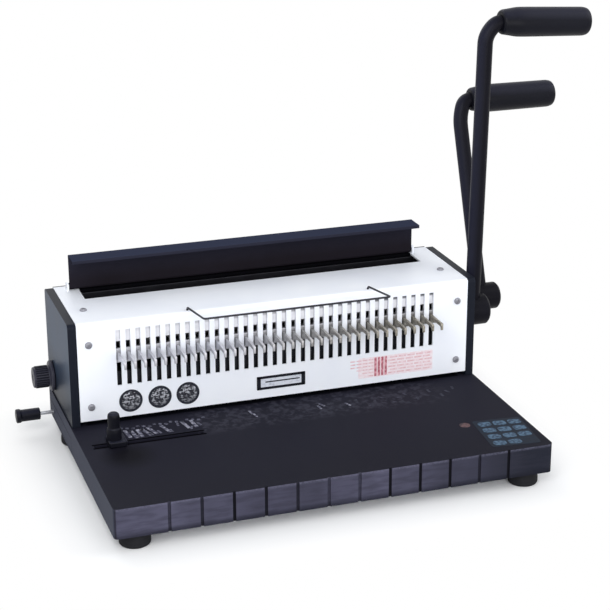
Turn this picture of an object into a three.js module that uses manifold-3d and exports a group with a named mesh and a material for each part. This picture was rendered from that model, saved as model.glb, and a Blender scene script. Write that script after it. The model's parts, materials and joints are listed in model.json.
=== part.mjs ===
// Wire binding machine: a hand punch with 34 pins, a comb opener and a wire closer in one housing.
// Millimetres, +Z up. The user works from the -Y side and both levers are on the +X side.
// Sizes are laid out round the housing: X = 0 is its middle, Y = 0 its front face, Z = 0 the table.
// The last lines shift the whole group so that the middle of its footprint is the origin.
import * as THREE from "three";
import { mergeVertices } from "three/addons/utils/BufferGeometryUtils.js";
import Module from "manifold-3d";

const wasm = await Module();
wasm.setup();

const half = (length) => length / 2;
const radians = THREE.MathUtils.degToRad;

// Clearances
const gap = {
  seat: 0.3, // a piece and what carries it
  bore: 0.3, // a shaft or pin and its hole, on the radius
  slide: 0.5, // round a piece that slides
  sweep: 1.2, // beside a piece that swings past
  overrun: 2, // a cutting shape past the face that it cuts
};

// Facets round a circle, and along the arcs and curves that aren't whole circles
const facets = { large: 32, medium: 24, small: 12, wire: 8, arc: 6, lobe: 12 };

const quarterTurn = Math.PI / 2;

// Feet, base and housing
const foot = {
  radius: 12.5,
  height: 12.5,
  waist: 11,
  edge: 1.5,
  sideInset: 18.9,
  frontInset: 15.5,
  rearSideInset: 13.4,
  rearInset: 44,
};
const base = {
  deckDepth: 158, // from the front edge to the housing's face
  skirt: 25, // height
  wall: 3,
  deck: 4, // thickness
  rim: 1.05, // the base past the side plates
  frontRadius: 4,
  rearRadius: 3,
  bossRadius: 6,
  plate: 1.5, // thickness of the bottom plate
};
const skirtGroove = { count: 12, pitch: 25.65, offset: 1.7, width: 2.6, depth: 1.2 };
const housing = { width: 348.1, depth: 100, height: 86.6, throat: 4.6, sheet: 1.5, fold: 3 };
const sidePlate = { thickness: 7, corner: 4, pocket: 5 };
const tab = { reach: 16, thickness: 3, halfHeight: 6 };

const deckTop = foot.height + base.skirt;
const deckUnder = deckTop - base.deck;
const coverBottom = deckTop + housing.throat;
const coverTop = coverBottom + housing.height;
const coverInside = coverTop - housing.sheet;
const coverHalf = half(housing.width);
const plateInner = coverHalf + gap.seat;
const plateOuter = plateInner + sidePlate.thickness;
const plateFoot = deckTop + gap.seat;
const innerHalf = plateInner - gap.seat;
const baseHalf = plateOuter + base.rim;
const baseRear = housing.depth + base.rim;
const bottomPlateLow = foot.height + gap.seat;
const bottomPlateTop = bottomPlateLow + base.plate;

// Places that follow the cover's height, as shares of it from the cover's lower edge
const heightShares = {
  screwLow: 0.1424,
  slotBottom: 0.3314,
  jawLow: 0.4146,
  rearScrew: 0.4376,
  shaftAxis: 0.5531,
  hookPlateLow: 0.5589,
  hookTop: 0.6686,
  hookWindow: 0.7032,
  jawLedge: 0.7067,
  anvilLow: 0.7148,
  screwHigh: 0.7794,
  slotTop: 0.8995,
  lugTop: 0.9284,
  hookPlateHigh: 0.9342,
  jawHigh: 0.9688,
};
const level = Object.fromEntries(
  Object.entries(heightShares).map(([name, share]) => [name, coverBottom + share * housing.height]),
);

// The hole pattern of the binding: one row that fills the room between the housing's ends
const holes = { pitch: 8.467, side: 4, endRoom: 34 };
const holeCount = 1 + Math.floor((coverHalf - holes.endRoom) / half(holes.pitch));
const holeSpan = (holeCount - 1) * holes.pitch;
const holeXs = Array.from({ length: holeCount }, (_, i) => i * holes.pitch - half(holeSpan));

// Comb hooks, which come out through the slots of the front cover
const slot = { width: 4 };
const hookPlate = { thickness: 2, endMargin: 8 };
const hook = {
  width: 2.2,
  reach: 25,
  thickness: 3.2,
  tip: 3,
  rootHeight: 7.4, // the hook is taller where it leaves the slot
  rootFront: 1.5,
  taperFront: 13,
  windowHeight: 6.5,
};
const hookFront = housing.sheet + gap.slide;
const hookRear = hookFront + hookPlate.thickness;
const hookHalf = half(holeSpan) + hookPlate.endMargin;
const hookGuide = { width: 7, foot: 23.9 };

// Punch: its pins, cams, shaft and lever stroke
const punch = {
  rowY: 8.3, // the hole row behind the housing's face
  edgeMargin: 2.5, // paper left between a hole and its edge
  travel: 9.5,
  stroke: radians(75),
  camWall: 1.9,
  camWidth: 10,
  camInset: 44.05, // from the housing's end to the cam's middle
};
const shaft = { radius: 6, endPlay: 0.5 };
const shaftBore = shaft.radius + gap.bore;
const punchCamBase = shaftBore + punch.camWall;
const punchRise = punch.travel / punch.stroke;
const punchY = hookRear + gap.sweep + Math.hypot(punchCamBase + punch.travel, punchRise);
const punchCamX = coverHalf - punch.camInset;
const die = { front: 2, rear: 26, thickness: 10, endRoom: 6.05 };
const guide = { front: 5.3, rear: 31, thickness: 12 };
const pinBar = {
  front: 5.6,
  web: 7.4, // depth of the part that holds the pins
  flange: 5, // thickness over the springs
  holdLift: 1.7, // pin tips above the throat at rest
};
const dieHalf = coverHalf - die.endRoom;
const pinBarRear = punchY + shaft.radius;
const pinBarTop = level.shaftAxis - punchCamBase - gap.seat;
const guideTop = coverBottom + guide.thickness;
const pinBarLow = guideTop + punch.travel + gap.sweep;
const pinHole = holes.side + gap.seat;
const returnSpring = { inset: 8, y: 24, radius: 4, wire: 1.2, turns: 6, sides: 5, stepsPerTurn: 8, seat: 1 };
const depthStop = { depth: 8 };

// Comb opener: cranks on the rear shaft that carry the hook bar down
const closerStroke = radians(71);
const crank = { inset: 72.05, travel: 20, width: 5, arm: 9 };
const crankX = coverHalf - crank.inset;
const crankRadius = half(crank.travel) / Math.sin(half(closerStroke));
const peg = { radius: 2.5, play: 0.6, length: 7 };
const lug = { wall: 2.5, width: 6, bridge: 4 };
const pegRoom = peg.radius + peg.play;
const closerY = punchY + shaft.radius + gap.sweep + lug.wall + pegRoom + crankRadius;

// Wire closer: cams on the rear shaft that push the jaw to the anvil
const closer = {
  travel: 11,
  camWall: 2.7,
  camWidth: 10,
  camInset: 50.05,
  channel: 16, // between the open jaw and the anvil
  mouthMargin: 2, // behind the anvil's face
  mouthFront: 4, // before the open jaw
  mouthInset: 20.05,
};
const closerCamBase = shaftBore + closer.camWall;
const closerRise = closer.travel / closerStroke;
const closerCamX = coverHalf - closer.camInset;
const jaw = { thickness: 3, inset: 26.05, ledge: 3 };
const jawHalf = coverHalf - jaw.inset;
const jawFront = closerY + closerCamBase + gap.seat;
const jawFace = jawFront + jaw.thickness;
const anvil = { depth: 9 };
const anvilFace = jawFace + closer.channel;
const mouth = {
  front: jawFront - closer.mouthFront,
  rear: anvilFace + closer.mouthMargin,
  halfLength: coverHalf - closer.mouthInset,
};

// Size dial and the stop that it turns
const dial = {
  rise: 17.8, // its axis above the deck
  jawReach: 15.05, // from the open jaw's front to its axis
  flangeRadius: 13.5,
  flange: 3.4,
  radius: 9.8,
  length: 14.4,
  edge: 1,
  shaftRadius: 4,
  stopRadius: 6,
  stopOffset: 2.5,
  stopWidth: 10,
  stopInset: 24, // from the side plate to the stop
  shaftInKnob: 12,
};
const dialY = jawFront + dial.jawReach;
const dialZ = deckTop + dial.rise;
const tail = { rise: 10.5, thickness: 3, step: 3.4, width: 10 };

// Levers
const lever = {
  rodRadius: 6.7,
  bend: 6,
  bendSteps: 4,
  gripBore: 60,
  socket: 2, // hub wall past the shaft, where the rod starts
  hubEdge: 1.4,
};
const punchLever = {
  hubRadius: 13.8,
  hubInner: 1.7, // hub wall on the inside of the rod
  hubOuter: 6.7,
  top: 259,
  leanX: 3.1, // how far the rod leans out and back up to its elbow
  leanY: -2.5,
  elbowRise: 11.5, // the slanting piece between the rod's upright and its arm
  elbowRun: 9.5,
  gripGap: 12.7, // from the rod's elbow to the grip
  gripDrop: 4.4,
};
const closerLever = {
  hubRadius: 12.4,
  hubInner: 6.4,
  hubOuter: 10.1,
  top: 180.5,
  leanX: -4.2,
  lean: radians(16.5),
  elbowRise: 16,
  elbowRun: 5.2,
  gripGap: 10.4,
  gripDrop: 0,
};
const grip = { length: 84, neck: 10.6, belly: 12.7, end: 12.5, round: 5, neckLength: 16 };
const punchHubInner = plateOuter + gap.seat;
const punchRodX = punchHubInner + punchLever.hubInner + lever.rodRadius;
const punchHubOuter = punchRodX + lever.rodRadius + punchLever.hubOuter;
const closerRodX = punchHubOuter + gap.sweep + lever.rodRadius;
const closerHubInner = closerRodX - lever.rodRadius - closerLever.hubInner;
const closerHubOuter = closerRodX + lever.rodRadius + closerLever.hubOuter;
const spacerRadius = 9.5;

// Bearings of both shafts
const bush = { wall: 2.7, flange: 1.5, flangeRadius: 11.5 };
const bushOuter = shaftBore + bush.wall;
const tieRod = { radius: 5, y: 40, rise: 11.5 };

// Flap over the closing channel, a little to the left of the middle
const flap = {
  inset: 15.5,
  offset: -3.5,
  sheet: 1.5,
  height: 28.8,
  lip: 18,
  hem: 3, // the lip's edge, turned down
  knuckle: 3,
  pin: 1.6,
};
const flapEar = { thickness: 2, radius: 3.6 };
const flapAxis = { y: mouth.rear + flap.knuckle, z: coverTop + gap.seat + flap.knuckle };
const flapHalf = coverHalf - flap.inset;

// Chip drawer in the base, with its pull rod
const drawer = { margin: 4, rightInset: 24.05, height: 12, wall: 1.5, face: 3 };
const pull = {
  rearInset: 17,
  z: 19.3,
  rodRadius: 1.8,
  rodOut: 12,
  knobRadius: 6.2,
  knobLength: 21,
  knobEdge: 1.4,
};
const drawerLow = bottomPlateTop + gap.slide;
const drawerTop = drawerLow + drawer.height;
const drawerRear = housing.depth - drawer.margin;
const pullY = housing.depth - pull.rearInset;

// Edge guide in its slot in the deck
const guideSlot = { inset: 10.4, length: 92, y: -42, width: 4.6 };
const fence = {
  inset: 29, // from the base's left edge to its middle
  width: 15,
  reach: 8.5,
  foot: 5,
  post: 28,
  postShift: -1.7,
  postRadius: 6.2,
  collar: 12,
  collarSlope: 3,
  neckRadius: 5.1,
  capRadius: 4,
  cap: 2,
  nut: 3,
  nutMargin: 3,
};
const tongue = { width: 8 };
const guideSlotLeft = guideSlot.inset - baseHalf;
const fenceX = fence.inset - baseHalf;

// Wire bail on top of the cover, a rest for the hanging book
const bail = {
  inset: 93.55, // from the housing's end to its arm
  offset: 1.5, // to the right of the middle
  y: 5,
  front: -48.5,
  rise: 10.6,
  lift: 2.2,
  depth: 5,
  wire: 1.25,
  bend: 1.9,
  bendSteps: 4,
};
const bailX = coverHalf - bail.inset;

// Screws of the covers
const screw = {
  head: 3.1,
  headHeight: 1.7,
  dome: 0.7,
  shank: 1.5,
  length: 4.6,
  insetX: 9.6,
  topY: 32,
  topInset: 12.8,
};

// Materials
function finish(color, roughness, metalness) {
  return new THREE.MeshStandardMaterial({ color, roughness, metalness });
}

const charcoal = finish(0x2b2a34, 0.6, 0.1);
const slate = finish(0x4a5566, 0.45, 0.3);
const white = finish(0xe8ecf2, 0.4, 0.1);
const blackPaint = finish(0x201f26, 0.4, 0.2);
const blackPlastic = finish(0x26262c, 0.5, 0);
const rubber = finish(0x16161a, 0.85, 0);
const steel = finish(0xa8a6a4, 0.3, 0.9);
const darkSteel = finish(0x3a3a40, 0.35, 0.8);
const zinc = finish(0xb9bcc2, 0.4, 0.8);

// Geometry helpers
// A box between two corners
function block(low, high) {
  const size = high.map((value, i) => value - low[i]);
  const geometry = new THREE.BoxGeometry(...size);
  return geometry.translate(...low.map((value, i) => value + half(size[i])));
}

// A shape drawn up along Z, and an outline of [y, z] points, or a shape in y and z, drawn out along X
function slabXY(shape, z0, z1) {
  const settings = { depth: z1 - z0, bevelEnabled: false, curveSegments: facets.arc };
  return new THREE.ExtrudeGeometry(shape, settings).translate(0, 0, z0);
}

const facingX = new THREE.Matrix4().set(0, 0, 1, 0, 1, 0, 0, 0, 0, 1, 0, 0, 0, 0, 0, 1);

function alongX(outline, x0, x1) {
  const shape = Array.isArray(outline)
    ? new THREE.Shape(outline.map(([y, z]) => new THREE.Vector2(y, z)))
    : outline;
  return slabXY(shape, x0, x1).applyMatrix4(facingX);
}

// Round bars along each axis
function barX(radius, x0, x1, y, z, sides = facets.medium) {
  const geometry = new THREE.CylinderGeometry(radius, radius, x1 - x0, sides);
  return geometry.rotateZ(-quarterTurn).translate(half(x0 + x1), y, z);
}

function barY(radius, y0, y1, x, z, sides = facets.medium) {
  return new THREE.CylinderGeometry(radius, radius, y1 - y0, sides).translate(x, half(y0 + y1), z);
}

function barZ(radius, z0, z1, x, y, sides = facets.medium) {
  const geometry = new THREE.CylinderGeometry(radius, radius, z1 - z0, sides);
  return geometry.rotateX(quarterTurn).translate(x, y, half(z0 + z1));
}

// A profile of [radius, height] points, turned about Z, and the same about X
function latheZ(profile, sides = facets.large) {
  const points = profile.map(([r, h]) => new THREE.Vector2(r, h));
  return new THREE.LatheGeometry(points, sides).rotateX(quarterTurn);
}

function latheX(profile, sides = facets.large) {
  return latheZ(profile, sides).rotateY(quarterTurn);
}

// A path that is walked from station to station, so that its steps fall on the bends
class StationPath extends THREE.Curve {
  constructor(stations) {
    super();
    this.stations = stations;
  }

  getPoint(t, target = new THREE.Vector3()) {
    const place = t * (this.stations.length - 1);
    const i = Math.min(Math.floor(place), this.stations.length - 2);
    return target.copy(this.stations[i]).lerp(this.stations[i + 1], place - i);
  }

  getUtoTmapping(u) {
    return u;
  }
}

// Corner points as stations, with each inner corner rounded off by a bend
function rounded(corners, bend, steps) {
  const points = corners.map((corner) => new THREE.Vector3(...corner));
  const stations = [points[0]];
  for (let i = 1; i < points.length - 1; i++) {
    const before = points[i - 1].clone().sub(points[i]).normalize();
    const after = points[i + 1].clone().sub(points[i]).normalize();
    const reach = bend / Math.tan(half(before.angleTo(after)));
    const arc = new THREE.QuadraticBezierCurve3(
      points[i].clone().addScaledVector(before, reach),
      points[i],
      points[i].clone().addScaledVector(after, reach),
    );
    stations.push(...arc.getPoints(steps));
  }
  stations.push(points[points.length - 1]);
  return stations;
}

// A round wire or rod through stations
function wireThrough(stations, radius, sides) {
  const section = new THREE.Shape();
  for (let i = 0; i < sides; i++) {
    const angle = (i / sides) * 2 * Math.PI;
    const point = [radius * Math.cos(angle), radius * Math.sin(angle)];
    if (i === 0) section.moveTo(...point);
    else section.lineTo(...point);
  }
  section.closePath();
  const extrudePath = new StationPath(stations);
  return new THREE.ExtrudeGeometry(section, { steps: stations.length - 1, extrudePath, bevelEnabled: false });
}

// Booleans on closed geometries
function solid(geometry) {
  geometry.deleteAttribute("normal");
  geometry.deleteAttribute("uv");
  const merged = mergeVertices(geometry);
  return new wasm.Manifold(new wasm.Mesh({
    numProp: 3,
    vertProperties: new Float32Array(merged.attributes.position.array),
    triVerts: new Uint32Array(merged.index.array),
  }));
}

function geometryOf(manifold) {
  const mesh = manifold.getMesh();
  const geometry = new THREE.BufferGeometry();
  geometry.setAttribute("position", new THREE.BufferAttribute(new Float32Array(mesh.vertProperties), 3));
  geometry.setIndex(new THREE.BufferAttribute(new Uint32Array(mesh.triVerts), 1));
  geometry.computeVertexNormals();
  return geometry;
}

function carve(parts, cuts = []) {
  const whole = parts.map(solid).reduce((sum, part) => sum.add(part));
  return geometryOf(cuts.map(solid).reduce((rest, cut) => rest.subtract(cut), whole));
}

const machine = new THREE.Group();

function add(name, geometry, material, parent = machine) {
  const mesh = new THREE.Mesh(geometry, material);
  mesh.name = name;
  parent.add(mesh);
  return mesh;
}

const bothSides = [["left", -1], ["right", 1]];

// Two distances from the middle as a rising pair of places on one side
const span = (sign, near, far) => (sign > 0 ? [near, far] : [-far, -near]);

// Base tray: deck, skirt, bosses, and the cuts for the die, the edge guide and the drawer
function outlineXY(halfWidth, front, rear, frontRadius, rearRadius) {
  const shape = new THREE.Shape();
  shape.moveTo(-halfWidth + frontRadius, front);
  shape.lineTo(halfWidth - frontRadius, front);
  shape.absarc(halfWidth - frontRadius, front + frontRadius, frontRadius, -quarterTurn, 0);
  shape.lineTo(halfWidth, rear - rearRadius);
  shape.absarc(halfWidth - rearRadius, rear - rearRadius, rearRadius, 0, quarterTurn);
  shape.lineTo(-halfWidth + rearRadius, rear);
  shape.absarc(-halfWidth + rearRadius, rear - rearRadius, rearRadius, quarterTurn, Math.PI);
  shape.lineTo(-halfWidth, front + frontRadius);
  shape.absarc(-halfWidth + frontRadius, front + frontRadius, frontRadius, -Math.PI, -quarterTurn);
  return shape;
}

function insetOutline(inset) {
  return outlineXY(
    baseHalf - inset,
    inset - base.deckDepth,
    baseRear - inset,
    base.frontRadius - half(inset),
    base.rearRadius - half(inset),
  );
}

const footPlaces = bothSides.flatMap(([side, sign]) => [
  [`foot_front_${side}`, sign * (baseHalf - foot.sideInset), foot.frontInset - base.deckDepth],
  [`foot_rear_${side}`, sign * (baseHalf - foot.rearSideInset), housing.depth - foot.rearInset],
]);

function baseTray() {
  const shell = slabXY(insetOutline(0), foot.height, deckTop);
  const room = slabXY(insetOutline(base.wall), foot.height - gap.overrun, deckUnder);
  const hollow = geometryOf(solid(shell).subtract(solid(room)));
  const bossLow = bottomPlateTop + gap.seat;
  const bossTop = deckTop - half(base.deck);
  const bosses = footPlaces
    .filter(([name]) => name !== "foot_rear_left")
    .map(([, x, y]) => barZ(base.bossRadius, bossLow, bossTop, x, y, facets.small));
  const dieWindow = block(
    [-dieHalf - gap.seat, die.front - gap.seat, deckUnder - gap.overrun],
    [dieHalf + gap.seat, die.rear + gap.seat, deckTop + gap.overrun],
  );
  const guideWindow = block(
    [guideSlotLeft, guideSlot.y - half(guideSlot.width), deckUnder - gap.overrun],
    [guideSlotLeft + guideSlot.length, guideSlot.y + half(guideSlot.width), deckTop + gap.overrun],
  );
  const drawerWindow = block(
    [-baseHalf - gap.overrun, drawer.margin - gap.slide, drawerLow - gap.slide],
    [gap.overrun - baseHalf + base.wall, drawerRear + gap.slide, drawerTop + gap.slide],
  );
  const grooves = Array.from({ length: skirtGroove.count }, (_, i) => {
    const x = (i - half(skirtGroove.count - 1)) * skirtGroove.pitch + skirtGroove.offset;
    return block(
      [x - half(skirtGroove.width), -base.deckDepth - gap.overrun, foot.height - gap.overrun],
      [x + half(skirtGroove.width), skirtGroove.depth - base.deckDepth, deckTop + gap.overrun],
    );
  });
  return carve([hollow, ...bosses], [dieWindow, guideWindow, drawerWindow, ...grooves]);
}

add("base_tray", baseTray(), charcoal);
const plateInset = base.wall + gap.seat;
add("base_plate", slabXY(insetOutline(plateInset), bottomPlateLow, bottomPlateTop), zinc);

const footProfile = [
  [0, 0],
  [foot.radius - foot.edge, 0],
  [foot.radius, foot.edge],
  [foot.radius, half(foot.height)],
  [foot.waist, foot.height],
  [0, foot.height],
];
for (const [name, x, y] of footPlaces) {
  add(name, latheZ(footProfile, facets.medium), rubber).position.set(x, y, 0);
}

// Side plates, with the tabs that the covers are screwed to
const frontScrews = bothSides.flatMap(([side, sign]) => [
  [`cover_screw_${side}_low`, sign, level.screwLow],
  [`cover_screw_${side}_high`, sign, level.screwHigh],
]);
const frontScrewX = coverHalf - screw.insetX;
const topScrewX = coverHalf - screw.topInset;
const rearCoverFront = housing.depth - housing.sheet;
const screwHole = screw.shank + gap.bore;

function platePart(sign) {
  const arcZ = coverTop - sidePlate.corner;
  const shape = new THREE.Shape();
  shape.moveTo(0, plateFoot);
  shape.lineTo(housing.depth, plateFoot);
  shape.lineTo(housing.depth, arcZ);
  shape.absarc(housing.depth - sidePlate.corner, arcZ, sidePlate.corner, 0, quarterTurn);
  shape.lineTo(sidePlate.corner, coverTop);
  shape.absarc(sidePlate.corner, arcZ, sidePlate.corner, quarterTurn, Math.PI);
  const [x0, x1] = span(sign, plateInner, plateOuter);
  const plate = alongX(shape, x0, x1);
  const [t0, t1] = span(sign, plateInner - tab.reach, plateInner + half(sidePlate.thickness));
  const behind = housing.sheet + gap.seat;
  const frontTabs = [level.screwLow, level.screwHigh].map((z) =>
    block([t0, behind, z - tab.halfHeight], [t1, behind + tab.thickness, z + tab.halfHeight]));
  const topTab = block(
    [t0, screw.topY - tab.halfHeight, coverInside - gap.seat - tab.thickness],
    [t1, screw.topY + tab.halfHeight, coverInside - gap.seat],
  );
  const rearTab = block(
    [t0, rearCoverFront - gap.seat - tab.thickness, level.rearScrew - tab.halfHeight],
    [t1, rearCoverFront - gap.seat, level.rearScrew + tab.halfHeight],
  );
  const depthOfHole = sign > 0 ? sidePlate.thickness + gap.overrun : sidePlate.pocket;
  const [h0, h1] = span(sign, plateInner - gap.overrun, plateInner + depthOfHole);
  const holesForShafts = [punchY, closerY].map((y) => barX(bushOuter + gap.seat, h0, h1, y, level.shaftAxis));
  const [d0, d1] = span(sign, plateInner - gap.overrun, plateOuter + gap.overrun);
  const dialHole = barX(dial.shaftRadius + gap.bore, d0, d1, dialY, dialZ);
  const screwX = sign * frontScrewX;
  const screwCuts = [
    barY(screwHole, 0, behind + screw.length, screwX, level.screwLow, facets.small),
    barY(screwHole, 0, behind + screw.length, screwX, level.screwHigh, facets.small),
    barZ(screwHole, coverInside - screw.length, coverTop, sign * topScrewX, screw.topY, facets.small),
    barY(screwHole, rearCoverFront - screw.length, housing.depth, screwX, level.rearScrew, facets.small),
  ];
  const cuts = sign < 0 ? [...holesForShafts, dialHole, ...screwCuts] : [...holesForShafts, ...screwCuts];
  return carve([plate, ...frontTabs, topTab, rearTab], cuts);
}

for (const [side, sign] of bothSides) add(`side_plate_${side}`, platePart(sign), slate);

// A bar on the flap's hinge line
function flapPinBar(radius, reach) {
  const geometry = barX(radius, -reach, reach, flapAxis.y, flapAxis.z, facets.small);
  return geometry.translate(flap.offset, 0, 0);
}

// Front cover: front and top in one folded sheet, with the slots, the closing mouth and the hinge ears
function coverPart() {
  const rear = rearCoverFront - gap.seat;
  const foldZ = coverTop - housing.fold;
  const outer = new THREE.Shape();
  outer.moveTo(0, coverBottom);
  outer.lineTo(housing.sheet, coverBottom);
  outer.lineTo(housing.sheet, foldZ);
  outer.absarc(housing.fold, foldZ, housing.fold - housing.sheet, Math.PI, quarterTurn, true);
  outer.lineTo(rear, coverInside);
  outer.lineTo(rear, coverTop);
  outer.lineTo(housing.fold, coverTop);
  outer.absarc(housing.fold, foldZ, housing.fold, quarterTurn, Math.PI);
  const sheet = alongX(outer, -coverHalf, coverHalf);
  const slots = holeXs.map((x) => block(
    [x - half(slot.width), -gap.overrun, level.slotBottom],
    [x + half(slot.width), housing.sheet + gap.overrun, level.slotTop],
  ));
  const opening = block(
    [-mouth.halfLength, mouth.front, coverInside - gap.overrun],
    [mouth.halfLength, mouth.rear, coverTop + gap.overrun],
  );
  const near = flapHalf + gap.slide;
  const ears = bothSides.flatMap(([, sign]) => {
    const [x0, x1] = span(sign, near, near + flapEar.thickness).map((x) => x + flap.offset);
    const eye = barX(flapEar.radius, x0, x1, flapAxis.y, flapAxis.z, facets.small);
    return [
      eye,
      block([x0, flapAxis.y - flapEar.radius, coverInside], [x1, flapAxis.y + flapEar.radius, flapAxis.z]),
    ];
  });
  const reach = near + flapEar.thickness + gap.overrun;
  const pinHoles = flapPinBar(flap.pin + gap.bore, reach);
  const cutLow = coverInside - gap.overrun;
  const cutTop = coverTop + gap.overrun;
  const bailHoles = bothSides.map(([, sign]) =>
    barZ(bail.wire + gap.bore, cutLow, cutTop, sign * bailX + bail.offset, bail.y, facets.small));
  const screwHoles = [
    ...frontScrews.map(([, sign, z]) =>
      barY(screwHole, -gap.overrun, housing.sheet + gap.overrun, sign * frontScrewX, z, facets.small)),
    ...bothSides.map(([, sign]) =>
      barZ(screwHole, cutLow, cutTop, sign * topScrewX, screw.topY, facets.small)),
  ];
  return carve([sheet, ...ears], [...slots, opening, pinHoles, ...bailHoles, ...screwHoles]);
}

add("front_cover", coverPart(), white);

const rearCutEnds = [rearCoverFront - gap.overrun, housing.depth + gap.overrun];
const rearCoverCuts = bothSides.map(([, sign]) =>
  barY(screwHole, ...rearCutEnds, sign * frontScrewX, level.rearScrew, facets.small));
const rearSheet = block([-coverHalf, rearCoverFront, plateFoot], [coverHalf, housing.depth, coverTop]);
add("rear_cover", carve([rearSheet], rearCoverCuts), charcoal);

// Pan-head screws, head outwards along the local +Z
const screwProfile = [
  [0, -screw.length],
  [screw.shank, -screw.length],
  [screw.shank, 0],
  [screw.head, 0],
  [screw.head, screw.headHeight - screw.dome],
  [screw.head - screw.dome, screw.headHeight],
  [0, screw.headHeight],
];
for (const [name, sign, z] of frontScrews) {
  const piece = add(name, latheZ(screwProfile, facets.small), zinc);
  piece.position.set(sign * frontScrewX, -gap.seat, z);
  piece.rotation.x = quarterTurn;
}
for (const [side, sign] of bothSides) {
  const piece = add(`cover_screw_${side}_top`, latheZ(screwProfile, facets.small), zinc);
  piece.position.set(sign * topScrewX, screw.topY, coverTop + gap.seat);
  const rearPiece = add(`rear_screw_${side}`, latheZ(screwProfile, facets.small), zinc);
  rearPiece.position.set(sign * frontScrewX, housing.depth + gap.seat, level.rearScrew);
  rearPiece.rotation.x = -quarterTurn;
}

// Punching tools: die, guide plate, depth stop and the bar with the square pins
function pinRow(side, z0, z1) {
  return holeXs.map((x) =>
    block([x - half(side), punch.rowY - half(side), z0], [x + half(side), punch.rowY + half(side), z1]));
}

const dieLow = deckTop - die.thickness;
const dieBlock = block([-dieHalf, die.front, dieLow], [dieHalf, die.rear, deckTop]);
add("die_plate", carve([dieBlock], pinRow(pinHole, dieLow - gap.overrun, deckTop + gap.overrun)), steel);

const springX = dieHalf - returnSpring.inset;
const guideBlock = block([-innerHalf, guide.front, coverBottom], [innerHalf, guide.rear, guideTop]);
const springSeats = bothSides.map(([, sign]) =>
  barZ(returnSpring.radius + returnSpring.wire, guideTop - returnSpring.seat, guideTop + gap.overrun,
    sign * springX, returnSpring.y, facets.small));
const guideCuts = [...pinRow(pinHole, coverBottom - gap.overrun, guideTop + gap.overrun), ...springSeats];
add("pin_guide", carve([guideBlock], guideCuts), steel);

const stopFront = punch.rowY + half(holes.side) + punch.edgeMargin;
add("depth_stop", block(
  [-dieHalf, stopFront, deckTop + gap.seat],
  [dieHalf, stopFront + depthStop.depth, coverBottom - gap.seat],
), darkSteel);

function pinBarPart() {
  const webRear = pinBar.front + pinBar.web;
  const body = alongX([
    [pinBar.front, pinBarLow],
    [webRear, pinBarLow],
    [webRear, pinBarTop - pinBar.flange],
    [pinBarRear, pinBarTop - pinBar.flange],
    [pinBarRear, pinBarTop],
    [pinBar.front, pinBarTop],
  ], -dieHalf, dieHalf);
  const pins = pinRow(holes.side - gap.seat, coverBottom + pinBar.holdLift, pinBarLow + half(pinBar.flange));
  return carve([body, ...pins]);
}

add("punch_pin_bar", pinBarPart(), darkSteel);

// Return springs under the ends of the pin bar
const upAxis = new THREE.Vector3(0, 0, 1);

function coil(length) {
  const middle = returnSpring.turns * returnSpring.stepsPerTurn;
  const stations = Array.from({ length: middle + 1 }, (_, i) => {
    const angle = (i / returnSpring.stepsPerTurn) * 2 * Math.PI;
    const height = half(returnSpring.wire) + (i / middle) * (length - returnSpring.wire);
    const place = new THREE.Vector3(returnSpring.radius, 0, height);
    return place.applyAxisAngle(upAxis, angle);
  });
  return wireThrough(stations, half(returnSpring.wire), returnSpring.sides);
}

const springLow = guideTop - returnSpring.seat + gap.seat;
const springHigh = pinBarTop - pinBar.flange - gap.seat;
for (const [side, sign] of bothSides) {
  const piece = add(`return_spring_${side}`, coil(springHigh - springLow), zinc);
  piece.position.set(sign * springX, returnSpring.y, springLow);
}

// Cams whose flat follower moves the same way for every degree of the lever.
// The outline is given in [u, v]: u towards the follower, v towards the lobe.
const camFlank = radians(80);

function camOutline(camBase, rise, sweep) {
  const lobe = Array.from({ length: facets.lobe + 1 }, (_, i) => {
    const angle = (i / facets.lobe) * sweep;
    const reach = camBase + rise * angle;
    return new THREE.Vector2(reach, rise).rotateAround(new THREE.Vector2(), angle).toArray();
  });
  const from = sweep + camFlank;
  const back = Array.from({ length: facets.lobe + 1 }, (_, i) => {
    const angle = from + (i / facets.lobe) * (2 * Math.PI - from);
    return [camBase * Math.cos(angle), camBase * Math.sin(angle)];
  });
  return [...lobe, ...back];
}

function camPart(outline, x, width) {
  const bore = barX(shaftBore, x - width, x + width, 0, 0);
  return carve([alongX(outline, x - half(width), x + half(width))], [bore]);
}

const punchCam = camOutline(punchCamBase, punchRise, punch.stroke).map(([u, v]) => [-v, -u]);
const closerCam = camOutline(closerCamBase, closerRise, closerStroke).map(([u, v]) => [u, -v]);

// Everything that turns with the punch lever is placed about its shaft
const punchTurn = new THREE.Group();
punchTurn.position.set(0, punchY, level.shaftAxis);
machine.add(punchTurn);
const shaftLeft = -plateInner - sidePlate.pocket + shaft.endPlay;
const shaftInHub = lever.rodRadius;
add("punch_shaft", barX(shaft.radius, shaftLeft, punchRodX + shaftInHub, 0, 0), steel, punchTurn);
for (const [side, sign] of bothSides) {
  add(`punch_cam_${side}`, camPart(punchCam, sign * punchCamX, punch.camWidth), darkSteel, punchTurn);
}

// The same about the rear shaft, which opens combs and closes wire
const closerTurn = new THREE.Group();
closerTurn.position.set(0, closerY, level.shaftAxis);
machine.add(closerTurn);
add("closer_shaft", barX(shaft.radius, shaftLeft, closerRodX + shaftInHub, 0, 0), steel, closerTurn);

const crankAngle = half(closerStroke);
const pegY = -crankRadius * Math.cos(crankAngle);
const pegZ = crankRadius * Math.sin(crankAngle);

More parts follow.
